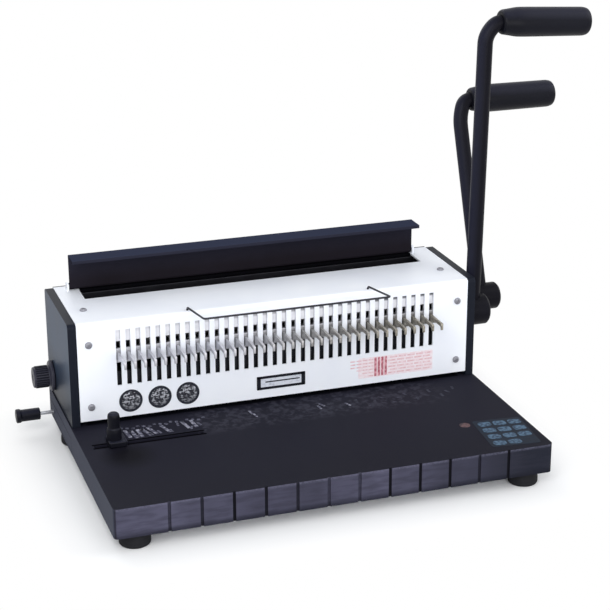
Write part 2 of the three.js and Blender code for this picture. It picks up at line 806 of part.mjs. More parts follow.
function crankPart(sign) {
  const [x0, x1] = span(sign, crankX - crank.width, crankX);
  const [p0, p1] = span(sign, crankX - half(crank.width), crankX + peg.length);
  const tip = new THREE.Vector2(pegY, pegZ);
  const across = tip.clone().rotateAround(new THREE.Vector2(), quarterTurn).setLength(half(crank.arm));
  const corners = [across, tip.clone().add(across), tip.clone().sub(across), across.clone().negate()];
  const parts = [
    alongX(corners.map((corner) => corner.toArray()), x0, x1),
    barX(bushOuter, x0, x1, 0, 0),
    barX(half(crank.arm), x0, x1, pegY, pegZ, facets.small),
    barX(peg.radius, p0, p1, pegY, pegZ, facets.small),
  ];
  return carve(parts, [barX(shaftBore, x0 - gap.overrun, x1 + gap.overrun, 0, 0)]);
}

for (const [side, sign] of bothSides) {
  add(`closer_cam_${side}`, camPart(closerCam, sign * closerCamX, closer.camWidth), darkSteel, closerTurn);
  add(`hook_crank_${side}`, crankPart(sign), darkSteel, closerTurn);
}

// Bushes in the side plates, flange inside
function bushPart(sign) {
  const depth = sign > 0 ? sidePlate.thickness : sidePlate.pocket - shaft.endPlay;
  const profile = [
    [shaftBore, -gap.seat - bush.flange],
    [bush.flangeRadius, -gap.seat - bush.flange],
    [bush.flangeRadius, -gap.seat],
    [bushOuter, -gap.seat],
    [bushOuter, depth],
    [shaftBore, depth],
    [shaftBore, -gap.seat - bush.flange],
  ];
  const geometry = latheX(profile, facets.medium);
  return sign > 0 ? geometry : geometry.rotateZ(Math.PI);
}

for (const [side, sign] of bothSides) {
  add(`punch_bush_${side}`, bushPart(sign), steel).position.set(sign * plateInner, punchY, level.shaftAxis);
  add(`closer_bush_${side}`, bushPart(sign), steel).position.set(sign * plateInner, closerY, level.shaftAxis);
}

add("frame_tie_rod", barX(tieRod.radius, -innerHalf, innerHalf, tieRod.y, deckTop + tieRod.rise), steel);

// Lever hubs: a round boss with a blind bore for the shaft and a socket for the rod
function hubPart(radius, x0, x1, rodX, direction) {
  const edge = lever.hubEdge;
  const profile = [
    [0, x0],
    [radius, x0],
    [radius, x1 - edge],
    [radius - edge, x1],
    [0, x1],
  ];
  const bore = barX(shaftBore, x0 - gap.overrun, rodX + shaftInHub + gap.seat, 0, 0);
  const socket = barZ(lever.rodRadius + gap.seat, 0, radius + gap.overrun, 0, 0);
  socket.rotateX(-direction).translate(rodX, 0, 0);
  return carve([latheX(profile)], [bore, socket]);
}

// A lever rod goes up from its foot, slants through an elbow and runs out along the grip.
// Its foot and top are [y, z] about the shaft.
function rodPart(own, rodX, low, top, gripStart, leanX) {
  const elbowShare = 1 - own.elbowRise / top[1];
  const end = top[1] - own.gripDrop * (lever.gripBore / grip.length);
  const corners = [
    [rodX, ...low],
    [rodX + leanX, top[0] * elbowShare, top[1] * elbowShare],
    [rodX + leanX + own.elbowRun, ...top],
    [gripStart + lever.gripBore - gap.slide, top[0], end],
  ];
  return wireThrough(rounded(corners, lever.bend, lever.bendSteps), lever.rodRadius, facets.medium);
}

const gripProfile = [
  [0, lever.gripBore],
  [lever.rodRadius + gap.seat, lever.gripBore],
  [lever.rodRadius + gap.seat, 0],
  [grip.neck - lever.hubEdge, 0],
  [grip.neck, lever.hubEdge],
  [grip.belly, grip.neckLength],
  [grip.end, grip.length - grip.round],
  [grip.end - half(lever.hubEdge), grip.length - half(grip.round)],
  [grip.end - half(grip.round), grip.length - half(lever.hubEdge)],
  [half(grip.end), grip.length],
  [0, grip.length],
];

const rodFoot = shaftBore + lever.socket;
const punchGripX = punchRodX + punchLever.leanX + punchLever.gripGap;
const punchTop = [punchLever.leanY, punchLever.top];
add("punch_lever_hub", hubPart(
  punchLever.hubRadius, punchHubInner, punchHubOuter, punchRodX, 0,
), blackPaint, punchTurn);
add("punch_lever_rod", rodPart(
  punchLever, punchRodX, [0, rodFoot], punchTop, punchGripX, punchLever.leanX,
), blackPaint, punchTurn);
const punchGrip = add("punch_lever_grip", latheX(gripProfile), blackPlastic, punchTurn);
punchGrip.position.set(punchGripX, punchTop[0], punchTop[1]);
punchGrip.rotation.y = Math.atan2(punchLever.gripDrop, grip.length);

const leanBack = [Math.sin(closerLever.lean), Math.cos(closerLever.lean)];
const closerTop = leanBack.map((share) => share * closerLever.top);
const closerGripX = closerRodX + closerLever.leanX + closerLever.gripGap;
add("closer_lever_hub", hubPart(
  closerLever.hubRadius, closerHubInner, closerHubOuter, closerRodX, closerLever.lean,
), blackPaint, closerTurn);
add("closer_lever_rod", rodPart(
  closerLever, closerRodX, leanBack.map((share) => share * rodFoot), closerTop, closerGripX, closerLever.leanX,
), blackPaint, closerTurn);
const closerGrip = add("closer_lever_grip", latheX(gripProfile), blackPlastic, closerTurn);
closerGrip.position.set(closerGripX, ...closerTop);
add("closer_spacer", latheX([
  [shaftBore, punchHubInner],
  [spacerRadius, punchHubInner],
  [spacerRadius, closerHubInner - gap.seat],
  [shaftBore, closerHubInner - gap.seat],
  [shaftBore, punchHubInner],
], facets.medium), blackPaint, closerTurn);

// Comb hook bar: a punched plate, a hook through each slot, and two lugs for the crank pegs
function hookBarPart() {
  const plate = block([-hookHalf, hookFront, level.hookPlateLow], [hookHalf, hookRear, level.hookPlateHigh]);
  const windows = holeXs.map((x) => block(
    [x - half(slot.width), hookFront - gap.overrun, level.hookWindow],
    [x + half(slot.width), hookRear + gap.overrun, level.hookWindow + hook.windowHeight],
  ));
  const root = hookRear - half(hookPlate.thickness);
  const under = level.hookTop - hook.thickness;
  const hookOutline = [
    [root, level.hookTop],
    [-hook.reach, level.hookTop],
    [-hook.reach, under - hook.tip],
    [half(hook.thickness) - hook.reach, under - hook.tip],
    [half(hook.thickness) - hook.reach, under],
    [-hook.taperFront, under],
    [-hook.rootFront, level.hookTop - hook.rootHeight],
    [root, level.hookTop - hook.rootHeight],
  ];
  const hooks = holeXs.map((x) => alongX(hookOutline, x - half(hook.width), x + half(hook.width)));
  const slotFront = closerY - crankRadius - pegRoom;
  const slotRear = closerY + pegY + pegRoom;
  const slotZ = level.shaftAxis + pegZ;
  const lugs = bothSides.flatMap(([, sign]) => {
    const near = crankX + gap.slide;
    const [x0, x1] = span(sign, near, near + lug.width);
    return [
      block([x0, root, level.lugTop - lug.bridge], [x1, slotRear + lug.wall, level.lugTop]),
      block([x0, slotFront - lug.wall, slotZ - pegRoom - lug.wall], [x1, slotRear + lug.wall, level.lugTop]),
    ];
  });
  const pegSlots = bothSides.map(([, sign]) => {
    const [x0, x1] = span(sign, crankX, crankX + lug.width + gap.overrun);
    return block([x0, slotFront, slotZ - pegRoom], [x1, slotRear, slotZ + pegRoom]);
  });
  return geometryOf(
    solid(carve([plate], windows)).add(solid(carve(hooks))).add(solid(carve(lugs, pegSlots))),
  );
}

add("comb_hook_bar", hookBarPart(), steel);
for (const [side, sign] of bothSides) {
  const [x0, x1] = span(sign, hookHalf + gap.seat, hookHalf + gap.seat + hookGuide.width);
  add(`hook_guide_${side}`, block(
    [x0, housing.sheet + gap.seat, coverBottom + hookGuide.foot],
    [x1, hookRear + gap.seat, coverTop - housing.fold - gap.seat],
  ), blackPlastic);
}

// Closing jaw with its ledge and the tail that meets the size stop, and the fixed anvil
const stopCentre = -plateInner + dial.stopInset;

function jawPart() {
  const ledgeRear = anvilFace - gap.seat;
  const outline = [
    [jawFront, level.jawLow],
    [jawFace, level.jawLow],
    [jawFace, level.jawLedge - jaw.ledge],
    [ledgeRear, level.jawLedge - jaw.ledge],
    [ledgeRear, level.jawLedge],
    [jawFace, level.jawLedge],
    [jawFace, level.jawHigh],
    [jawFront, level.jawHigh],
  ];
  const tailRear = dialY - dial.stopRadius - dial.stopOffset - closer.travel - gap.seat;
  const tailFront = tailRear - tail.thickness;
  const tailOutline = [
    [tailFront, deckTop + tail.rise],
    [tailRear, deckTop + tail.rise],
    [tailRear, level.jawLow - tail.step],
    [jawFace, level.jawLow - tail.step],
    [jawFace, level.jawLow + tail.step],
    [jawFront, level.jawLow + tail.step],
    [jawFront, level.jawLow],
    [tailFront, level.jawLow],
  ];
  return carve([
    alongX(outline, -jawHalf, jawHalf),
    alongX(tailOutline, stopCentre - half(tail.width), stopCentre + half(tail.width)),
  ]);
}

add("closer_jaw", jawPart(), steel);
add("closer_anvil", block(
  [-innerHalf, anvilFace, level.anvilLow],
  [innerHalf, anvilFace + anvil.depth, level.jawHigh],
), darkSteel);

// Size dial outside the left plate, and its shaft with the round stop set off centre
const dialGroup = new THREE.Group();
dialGroup.position.set(0, dialY, dialZ);
machine.add(dialGroup);
const dialFace = -plateOuter - gap.seat;
const dialEnd = dialFace - dial.flange - dial.length;
add("size_dial_knob", latheX([
  [0, dialEnd],
  [dial.radius - dial.edge, dialEnd],
  [dial.radius, dialEnd + dial.edge],
  [dial.radius, dialFace - dial.flange],
  [dial.flangeRadius - dial.edge, dialFace - dial.flange],
  [dial.flangeRadius, dialFace - dial.flange + dial.edge],
  [dial.flangeRadius, dialFace],
  [dial.shaftRadius + gap.seat, dialFace],
  [dial.shaftRadius + gap.seat, dialFace - dial.shaftInKnob],
  [0, dialFace - dial.shaftInKnob],
]), blackPlastic, dialGroup);
const stopEnds = [stopCentre - half(dial.stopWidth), stopCentre + half(dial.stopWidth)];
add("size_dial_shaft", carve([
  barX(dial.shaftRadius, dialFace - dial.shaftInKnob + gap.seat, stopEnds[1], 0, 0),
  barX(dial.stopRadius, ...stopEnds, 0, -dial.stopOffset),
]), steel, dialGroup);

// Flap over the closing mouth: a rolled knuckle, a tall leaf and a lip, on one long pin
function flapPart() {
  const front = flapAxis.y - flap.knuckle;
  const top = flapAxis.z + flap.height;
  const leaf = alongX([
    [front, flapAxis.z],
    [front + flap.sheet, flapAxis.z],
    [front + flap.sheet, top],
    [front - flap.lip, top],
    [front - flap.lip, top - flap.hem],
    [front - flap.lip + flap.sheet, top - flap.hem],
    [front - flap.lip + flap.sheet, top - flap.sheet],
    [front, top - flap.sheet],
  ], -flapHalf, flapHalf);
  const bodyParts = [leaf.translate(flap.offset, 0, 0), flapPinBar(flap.knuckle, flapHalf)];
  return carve(bodyParts, [flapPinBar(flap.pin + gap.bore, flapHalf + gap.overrun)]);
}

add("closer_flap", flapPart(), blackPaint);
add("flap_hinge_pin", flapPinBar(flap.pin, flapHalf + gap.slide + flapEar.thickness), steel);

// Chip drawer, which pulls out to the left
function drawerPart() {
  const right = coverHalf - drawer.rightInset;
  const outside = block([-baseHalf, drawer.margin, drawerLow], [right, drawerRear, drawerTop]);
  const inside = block(
    [drawer.face - baseHalf, drawer.margin + drawer.wall, drawerLow + drawer.wall],
    [right - drawer.wall, drawerRear - drawer.wall, drawerTop + gap.overrun],
  );
  const holeEnd = half(drawer.face) - baseHalf;
  const holeStart = -baseHalf - gap.overrun;
  const rodHole = barX(pull.rodRadius + gap.seat, holeStart, holeEnd, pullY, pull.z, facets.small);
  return carve([outside], [inside, rodHole]);
}

add("chip_drawer", drawerPart(), charcoal);
const rodIn = -baseHalf + half(drawer.face) - gap.seat;
const knobIn = -baseHalf - pull.rodOut;
const knobOut = knobIn - pull.knobLength;
const rodInKnob = half(pull.knobLength);
const pullRod = barX(pull.rodRadius, knobIn - rodInKnob, rodIn, pullY, pull.z, facets.small);
add("drawer_pull_rod", pullRod, steel);
add("drawer_pull_knob", latheX([
  [0, knobOut],
  [pull.knobRadius - pull.knobEdge, knobOut],
  [pull.knobRadius, knobOut + pull.knobEdge],
  [pull.knobRadius, knobIn - pull.knobEdge],
  [pull.knobRadius - pull.knobEdge, knobIn],
  [pull.rodRadius + gap.seat, knobIn],
  [pull.rodRadius + gap.seat, knobIn - rodInKnob - gap.seat],
  [0, knobIn - rodInKnob - gap.seat],
], facets.medium), blackPlastic).position.set(0, pullY, pull.z);

// Edge guide: a round post on a low foot, a tongue through the slot, and a nut below the deck
const nutLow = deckUnder - gap.seat - fence.nut;

// A block about the middle of the slot under the guide
function slotBlock(halfX, halfY, low, high) {
  return block([fenceX - halfX, guideSlot.y - halfY, low], [fenceX + halfX, guideSlot.y + halfY, high]);
}

function edgeGuidePart() {
  const low = deckTop + gap.seat;
  const top = low + fence.post;
  const foot = slotBlock(half(fence.width), fence.reach, low, low + fence.foot);
  const key = slotBlock(half(tongue.width), half(guideSlot.width) - gap.seat, nutLow, low + half(fence.foot));
  const post = latheZ([
    [0, low + half(fence.foot)],
    [fence.postRadius, low + half(fence.foot)],
    [fence.postRadius, low + fence.collar],
    [fence.neckRadius, low + fence.collar + fence.collarSlope],
    [fence.neckRadius, top - fence.cap],
    [fence.capRadius, top],
    [0, top],
  ], facets.medium).translate(fenceX + fence.postShift, guideSlot.y, 0);
  return carve([foot, key, post]);
}

add("edge_guide", edgeGuidePart(), blackPlastic);
const holeHalves = [half(tongue.width) + gap.seat, half(guideSlot.width)];
const nutHole = slotBlock(...holeHalves, nutLow - gap.overrun, deckUnder);
const nutHalves = [half(tongue.width) + fence.nutMargin, half(guideSlot.width) + fence.nutMargin];
add("edge_guide_nut", carve([slotBlock(...nutHalves, nutLow, deckUnder - gap.seat)], [nutHole]), zinc);

// Wire bail: one bent wire whose ends stand in two holes of the cover
const bailRest = coverTop + bail.lift;
const bailCorners = [
  [-bailX, bail.y, coverTop - bail.depth],
  [-bailX, bail.y, bailRest],
  [-bailX, bail.front, coverTop + bail.rise],
  [bailX, bail.front, coverTop + bail.rise],
  [bailX, bail.y, bailRest],
  [bailX, bail.y, coverTop - bail.depth],
];
const bailStations = rounded(bailCorners, bail.bend, bail.bendSteps);
add("wire_bail", wireThrough(bailStations, bail.wire, facets.wire), darkSteel).position.x = bail.offset;

// The middle of the footprint becomes the origin
const reachRight = Math.max(punchGripX, closerGripX) + grip.length;
const reachLeft = -knobOut;
const closerGripRear = closerY + closerTop[0] + grip.belly;
const reachRear = Math.max(closerGripRear, housing.depth + gap.seat + screw.headHeight);
machine.position.set(half(reachLeft - reachRight), half(base.deckDepth - reachRear), 0);

const part = new THREE.Group();
part.add(machine);
part.updateMatrixWorld(true);

export default part;
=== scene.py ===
# %% [markdown]
# # A wire binding machine, built piece by piece
# The machine punches a row of square holes along the edge of a stack of paper, and closes wire
# or opens a plastic comb with its second lever. Its sizes and joints come from a CAD model that
# is loaded as a fixed frame. This lesson gives every part its finish, and replaces the plain
# parts that show with finer ones in the same place.

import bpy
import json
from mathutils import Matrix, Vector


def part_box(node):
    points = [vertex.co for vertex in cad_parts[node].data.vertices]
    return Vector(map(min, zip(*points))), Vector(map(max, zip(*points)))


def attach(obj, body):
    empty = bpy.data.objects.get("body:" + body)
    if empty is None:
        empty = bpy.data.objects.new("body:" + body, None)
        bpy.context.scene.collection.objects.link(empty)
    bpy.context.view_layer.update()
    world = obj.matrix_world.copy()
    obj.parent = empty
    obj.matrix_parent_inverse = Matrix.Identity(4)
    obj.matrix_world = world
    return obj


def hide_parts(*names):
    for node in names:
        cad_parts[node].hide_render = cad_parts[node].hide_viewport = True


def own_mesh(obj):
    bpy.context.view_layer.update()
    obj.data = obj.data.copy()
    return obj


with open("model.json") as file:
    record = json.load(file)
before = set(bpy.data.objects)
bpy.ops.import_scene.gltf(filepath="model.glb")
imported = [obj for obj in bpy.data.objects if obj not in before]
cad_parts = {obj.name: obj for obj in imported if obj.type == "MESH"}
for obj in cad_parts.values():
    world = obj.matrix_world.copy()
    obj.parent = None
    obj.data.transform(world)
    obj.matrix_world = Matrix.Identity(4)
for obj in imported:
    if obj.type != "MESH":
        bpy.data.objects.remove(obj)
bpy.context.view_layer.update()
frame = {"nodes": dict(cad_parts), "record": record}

# %% [markdown]
# Places are easier to read in millimetres, counted from the middle of the white cover's front.
# One function turns them into the frame's metres, so no later cell needs the offset.

# %% Name places from the cover
import json
from math import cos, pi, radians, sin

import bmesh
import bpy
from mathutils import Matrix, Vector

MM = 0.001
cover_low, cover_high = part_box("front_cover")
middle_x = (cover_low.x + cover_high.x) / 2
front_y = cover_low.y


def at(x, y, z):
    """A place in millimetres: x from the machine's middle, y from the cover's front, z from the table."""
    return Vector((middle_x + x * MM, front_y + y * MM, z * MM))


print("machine middle at", round(middle_x, 5), "cover front at", round(front_y, 5))

# %% [markdown]
# The camera stands where the photographer stood: a little to the left, looking down by about
# twenty degrees, with a long lens. The angles and the distance were solved from the row of slots.
# A small helper links every new object to the scene, since later cells do that often.

# %% Camera
SENSOR_WIDTH = 36.0
FOCAL_LENGTH = 99.17
CAMERA_PLACE = (-409.44, -1273.31, 607.5)
TO_THE_RIGHT, DOWN, LEAN = 18.76, 19.83, 0.17


def linked(name, data):
    """A new object of the scene that holds a mesh, a curve, a lamp or a camera."""
    made = bpy.data.objects.new(name, data)
    bpy.context.scene.collection.objects.link(made)
    return made


lens = bpy.data.cameras.new("photo_camera")
lens.sensor_width = SENSOR_WIDTH
lens.lens = FOCAL_LENGTH
camera = linked("photo_camera", lens)
turn = Matrix.Rotation(radians(-TO_THE_RIGHT), 4, "Z")
tilt = Matrix.Rotation(radians(90 - DOWN), 4, "X")
roll = Matrix.Rotation(radians(-LEAN), 4, "Z")
camera.matrix_world = Matrix.Translation(at(*CAMERA_PLACE)) @ turn @ tilt @ roll
bpy.context.scene.camera = camera
bpy.context.scene.view_settings.view_transform = "Standard"
print("camera at", [round(v, 3) for v in camera.location])

# %% [markdown]
# Finishes are made of nodes, and node sums get long. Here a small class wraps a node's output so
# that `1 - mask * 0.5` in Python adds the Math nodes by itself. Every other node comes from one
# method that sets its options first and then its sockets.


# %% Write node sums as Python sums
class Value:
    """A node's output that can stand in a sum."""

    def __init__(self, nodes, socket):
        self.nodes, self.socket = nodes, socket

    def sum(self, operation, *terms, clamp=False):
        settings = {"operation": operation, "use_clamp": clamp}
        return self.nodes.node("ShaderNodeMath", settings, dict(enumerate(terms)))

    def __add__(self, other):
        return self.sum("ADD", self, other)

    def __radd__(self, other):
        return self.sum("ADD", other, self)

    def __sub__(self, other):
        return self.sum("SUBTRACT", self, other)

    def __rsub__(self, other):
        return self.sum("SUBTRACT", other, self)

    def __mul__(self, other):
        return self.sum("MULTIPLY", self, other)

    def __rmul__(self, other):
        return self.sum("MULTIPLY", other, self)

    def above(self, edge, soft):
        """0 below the edge and 1 above it, over a soft step."""
        return self.sum("MULTIPLY_ADD", self, 1 / soft, 0.5 - edge / soft, clamp=True)

    def below(self, edge, soft):
        return 1 - self.above(edge, soft)

    def under(self, mask, *levels):
        """This colour of a finish with another one laid over it where the mask says so."""
        return self.nodes.mix(mask, self, levels)


class Nodes:
    """A node tree that is filled from Python."""

    def __init__(self, tree):
        self.tree = tree

    def node(self, kind, settings=None, inputs=None, out=0):
        made = self.tree.nodes.new(kind)
        for name, setting in (settings or {}).items():
            setattr(made, name, setting)
        for name, value in (inputs or {}).items():
            if isinstance(value, Value):
                self.tree.links.new(value.socket, made.inputs[name])
            else:
                made.inputs[name].default_value = value
        return Value(self, made.outputs[out]) if made.outputs else made


print("node sums ready")

# %% [markdown]
# A finish is one material: a Principled shader whose fixed numbers sit on its own sockets, and
# whose colour, roughness and bump change a little over the surface. The patterns read Object
# coordinates, so they stay with the piece and keep their real size. Colours are given in the levels
# that a screen shows, since those can be compared with a photo, and turned into light.


# %% Describe a finish
def light(colour):
    """Three levels as picked from a screen, 0 to 255, turned into light. All else stays as it is."""
    if isinstance(colour, Value) or len(colour) == 4:
        return colour
    parts = [((v / 255 + 0.055) / 1.055) ** 2.4 if v > 10 else v / 255 / 12.92 for v in colour]
    return (*parts, 1.0)


class Finish(Nodes):
    """A material with a Principled shader. Its patterns are placed in metres on the object."""

    def __init__(self, name, colour, roughness, metallic=0.0, gloss=0.5):
        self.material = bpy.data.materials.new(name)
        self.material.use_nodes = True
        super().__init__(self.material.node_tree)
        self.tree.nodes.clear()
        self.colour = light(colour)
        sockets = {"Base Color": self.colour, "Roughness": roughness, "Metallic": metallic}
        sockets["Specular IOR Level"] = gloss
        self.shader = self.node("ShaderNodeBsdfPrincipled", inputs=sockets).socket.node
        surface = Value(self, self.shader.outputs[0])
        self.node("ShaderNodeOutputMaterial", inputs={"Surface": surface})
        self.place = self.node("ShaderNodeTexCoord", out="Object")
        print("finish", name)

    def feed(self, socket, value):
        self.tree.links.new(value.socket, self.shader.inputs[socket])

    def noise(self, size, detail=3.0, stretch=(1, 1, 1)):
        """Soft blotches about `size` millimetres across."""
        scale = [share * 1000 / size for share in stretch]
        spot = self.node("ShaderNodeMapping", inputs={"Vector": self.place, "Scale": scale})
        return self.node("ShaderNodeTexNoise", inputs={"Vector": spot, "Scale": 1.0, "Detail": detail})

    def along(self, axis):
        return self.node("ShaderNodeSeparateXYZ", inputs={0: self.place}, out=axis)

    def facing(self, axis):
        """Which way the surface looks: one part of its direction in the object's own space."""
        look = Value(self, self.place.socket.node.outputs["Normal"])
        return self.node("ShaderNodeSeparateXYZ", inputs={0: look}, out=axis)

    def magnitude(self, value):
        return self.node("ShaderNodeMath", {"operation": "ABSOLUTE"}, {0: value})

    def mix(self, factor, first, second):
        """The first colour where the factor is 0, and the second where it is 1."""
        inputs = {0: factor, 6: light(first), 7: light(second)}
        return self.node("ShaderNodeMix", {"data_type": "RGBA"}, inputs, out=2)

    def vector(self, operation, first, second=(0, 0, 0), out="Vector"):
        return self.node("ShaderNodeVectorMath", {"operation": operation}, {0: first, 1: second}, out)

    def coat(self, colour, roughness, relief, depth, strength):
        """Feeds what changes over the surface. The relief is `depth` millimetres deep."""
        bump = {"Height": relief, "Distance": depth * MM, "Strength": strength}
        self.feed("Base Color", colour)
        self.feed("Roughness", roughness)
        self.feed("Normal", self.node("ShaderNodeBump", inputs=bump))

    def shift(self, amount):
        """The finish's own colour made darker or lighter by a share."""
        return (*[min(1.0, v * (1 + amount)) for v in self.colour[:3]], 1.0)


print("finishes can be described")

# %% [markdown]
# The paints come first. The base has a fine textured charcoal paint that reflects very little. Its
# front skirt and side walls are painted a shade lighter than its deck, as painted light on the faces
# that look to the lamps, so the paint asks which way the surface faces: the Normal output of Texture
# Coordinate is the direction in the object's own space. The skirt's painted light fades from left to
# right into painted shade. It is also brushed along X, has a painted highlight along its upper edge,
# is darker near its lower rim, and has painted shade in its grooves. A painted shadow of the edge
# guide darkens the deck in front of it, and the paper has scuffed the strip in front of the throat.

# %% Charcoal paint
charcoal = Finish("charcoal_textured_paint", (36, 36, 47), 0.6, gloss=0.05)
grain = charcoal.noise(0.9, 4.0)
cloud = charcoal.noise(70.0, 2.0)
tray_low, tray_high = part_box("base_tray")
sideways = charcoal.along(0) - middle_x
height = charcoal.along(2)
half_width = (tray_high.x - tray_low.x) / 2
at_side = charcoal.magnitude(sideways).above(half_width - 2 * MM, 1 * MM)
at_front = charcoal.along(1).below(tray_low.y + 2 * MM, 1 * MM)
# Painted light: the upright walls get lighter colours than the deck, for the faces that look to the lamps.
lit_upright_walls = charcoal.facing(2).below(0.5, 0.6) * (at_side + at_front)
# Painted light: the skirt is lighter at the left, where the lamps reach it, and falls to painted shade at
# the right.
skirt_shade_to_the_right = sideways.above(98 * MM, 116 * MM)
streak = charcoal.noise(34.0, 2.0, (1, 0.2, 0.2))
brushed = charcoal.noise(3.2, 3.0, (0.16, 1, 1))
skirt = charcoal.mix(skirt_shade_to_the_right, (77, 76, 94), (31, 33, 43))
skirt = skirt.under(streak.above(0.5, 0.3) * 0.34, 34, 35, 43)
stain = charcoal.magnitude(sideways + 38 * MM).below(52 * MM, 50 * MM) * 0.42
skirt = skirt.under(stain, 36, 36, 46)
skirt = skirt.under(brushed.above(0.54, 0.22) * 0.45, 44, 44, 55)
near_rim = height.below(tray_low.z + 3.4 * MM, 3.5 * MM) * 0.62
skirt = skirt.under(near_rim, 20, 21, 29)
# Painted highlight along the skirt's upper edge.
painted_edge_highlight = height.above(tray_high.z - 1.7 * MM, 1.4 * MM) * grain.above(0.46, 0.3) * 0.5
skirt = skirt.under(painted_edge_highlight, 98, 98, 116)
# Painted shade in the bottoms of the grooves, uneven along X.
in_groove = charcoal.along(1).above(tray_low.y + 0.7 * MM, 0.4 * MM)
uneven = 0.35 + charcoal.noise(38.0, 1.0, (1, 0.1, 0.1)).above(0.48, 0.2) * 0.65
skirt = skirt.under(in_groove * uneven, 15, 15, 21)
walls = charcoal.mix(at_front, (57, 60, 73), skirt)
deck = charcoal.mix(cloud, (25, 25, 35), (35, 35, 46))
toward_front = charcoal.along(1).below(tray_low.y + 70 * MM, 110 * MM) * 0.62
deck = deck.under(toward_front, 18, 18, 27)
ahead = charcoal.along(1) - front_y
right_of_guide = sideways.above(-84 * MM, 12 * MM)
left_of_table = sideways.below(132 * MM, 30 * MM)
paper_way = ahead.above(-44 * MM, 14 * MM) * right_of_guide * left_of_table
scuffed = charcoal.noise(5.0, 4.0).above(0.53, 0.16) * paper_way * 0.42
deck = deck.under(scuffed, 72, 72, 84)
# Painted shadow of the edge guide on the deck in front of it.
guide_shadow_place = charcoal.vector("SUBTRACT", charcoal.place, at(-149, -66, 37.5))
guide_shadow = charcoal.vector("LENGTH", guide_shadow_place, out="Value") + (cloud - 0.5) * 0.02
deck = deck.under(guide_shadow.below(17 * MM, 20 * MM) * 0.75, 8, 7, 10)
painted = charcoal.mix(lit_upright_walls, deck, walls)
charcoal.coat(painted, 0.5 + cloud * 0.14 + grain * 0.06, grain, depth=0.1, strength=0.5)

# %% [markdown]
# The side plates are slate coloured. Their broad faces are painted lighter than their narrow edges,
# as painted light on the faces that look to the lamps, and the edges get painted shade. The broad
# faces look along X, so the X part of the direction is the mask. Towards the deck the plate is
# painted darker, as painted shade.

# %% Slate paint
slate = Finish("slate_satin_paint", (64, 78, 96), 0.36, gloss=0.06)
sweep = slate.noise(60.0, 2.0, (1, 1, 0.5))
orange_peel = slate.noise(1.6, 2.0)
# Painted light: broad faces lighter, narrow edges darker.
broad = slate.magnitude(slate.facing(0)).above(0.6, 0.5)
# Painted shade towards the deck.
raised = slate.along(2).above(66 * MM, 46 * MM)
face_colour = slate.mix(sweep.above(0.5, 0.5), (45, 54, 69), (64, 77, 96))
face_shaded_low = slate.mix(raised, (20, 26, 37), face_colour)
plate_colour = slate.mix(broad, (25, 28, 37), face_shaded_low)
slate.coat(plate_colour, 0.32 + sweep * 0.14, orange_peel, depth=0.05, strength=0.35)

# %% [markdown]
# The cover is white powder coat: almost even, with a faint orange peel that breaks up reflections.
# A little blue haze keeps it from looking like paper.

# %% White powder coat
white = Finish("white_powder_coat", (238, 241, 247), 0.4, gloss=0.35)
peel = white.noise(1.4, 3.0)
haze = white.noise(40.0, 2.0)
hazy = white.mix(haze, (226, 230, 240), (240, 242, 246))
white.coat(hazy, 0.36 + haze * 0.1, peel, depth=0.04, strength=0.25)

# %% [markdown]
# The flap, the hubs and the lever rods are satin black. The black is never quite even: a slow drift
# changes its gloss, a fine fleck breaks the reflection of the lamps, and the side that looks to
# the light is painted lighter and bluer, as a painted highlight. The flap also gets that painted
# highlight on its upper part. The flap's coat is older and no longer shines. Black felt lines the mouth.


# %% Black paint
def satin_black(name, low, high, lit, facing_axis, gloss):
    made = Finish(name, low, 0.42, gloss=gloss)
    drift = made.noise(40.0, 3.0)
    fleck = made.noise(0.7, 3.0)
    paint = made.mix(drift, low, high)
    # Painted highlight on the side that looks to the light: the left side of the rods and hubs, the upper
    # faces of the flap.
    if facing_axis == 0:
        toward_light = 0 - made.facing(0)
    else:
        toward_light = made.facing(2)
        # Painted highlight on the flap's upper part.
        paint = made.mix(made.along(2).above(150 * MM, 26 * MM) * 0.45, paint, lit)
    lit_paint = made.mix(toward_light.above(0.5, 0.8), paint, lit)
    made.coat(lit_paint, 0.34 + drift * 0.14, fleck, depth=0.04, strength=0.3)
    return made


black = satin_black("black_satin_paint", (11, 10, 15), (18, 18, 27), (34, 35, 48), 0, 0.07)
flap_paint = satin_black("flap_black_paint", (29, 26, 30), (36, 33, 40), (50, 54, 71), 2, 0.0)
felt = Finish("black_felt", (10, 10, 13), 0.95, gloss=0.0)
fibre = felt.noise(0.8, 3.0, (0.3, 1, 1))
felt_colour = felt.mix(fibre, (7, 7, 9), (15, 15, 19))
felt.coat(felt_colour, 0.88 + fibre * 0.1, fibre, depth=0.08, strength=0.5)

# %% [markdown]
# The grips and knobs are moulded plastic with fine pores and slow flow lines, and the faces that
# look up are painted lighter and bluer, as a painted highlight. The dial's plastic has been handled
# more, so it is paler. One function makes both.


# %% Moulded black plastic
def moulding(name, low, high, gloss):
    made = Finish(name, low, 0.42, gloss=gloss)
    pores = made.noise(0.5, 4.0)
    flow = made.noise(25.0, 3.0, (0.4, 1, 1))
    skin = made.mix(flow, low, high)
    # Painted highlight, lighter and bluer, on the faces that look up.
    top_highlight = made.facing(2).above(0.5, 0.5) * 0.55
    with_painted_light = skin.under(top_highlight, 40, 41, 55)
    made.coat(with_painted_light, 0.34 + flow * 0.12, pores, depth=0.05, strength=0.4)
    return made


plastic = moulding("moulded_black_plastic", (10, 10, 15), (19, 20, 29), 0.1)
worn_plastic = moulding("handled_black_plastic", (36, 36, 46), (52, 52, 64), 0.2)

# %% [markdown]
# Rubber scatters nearly all light. A chalky bloom lies on it in patches, and its skin is coarse.

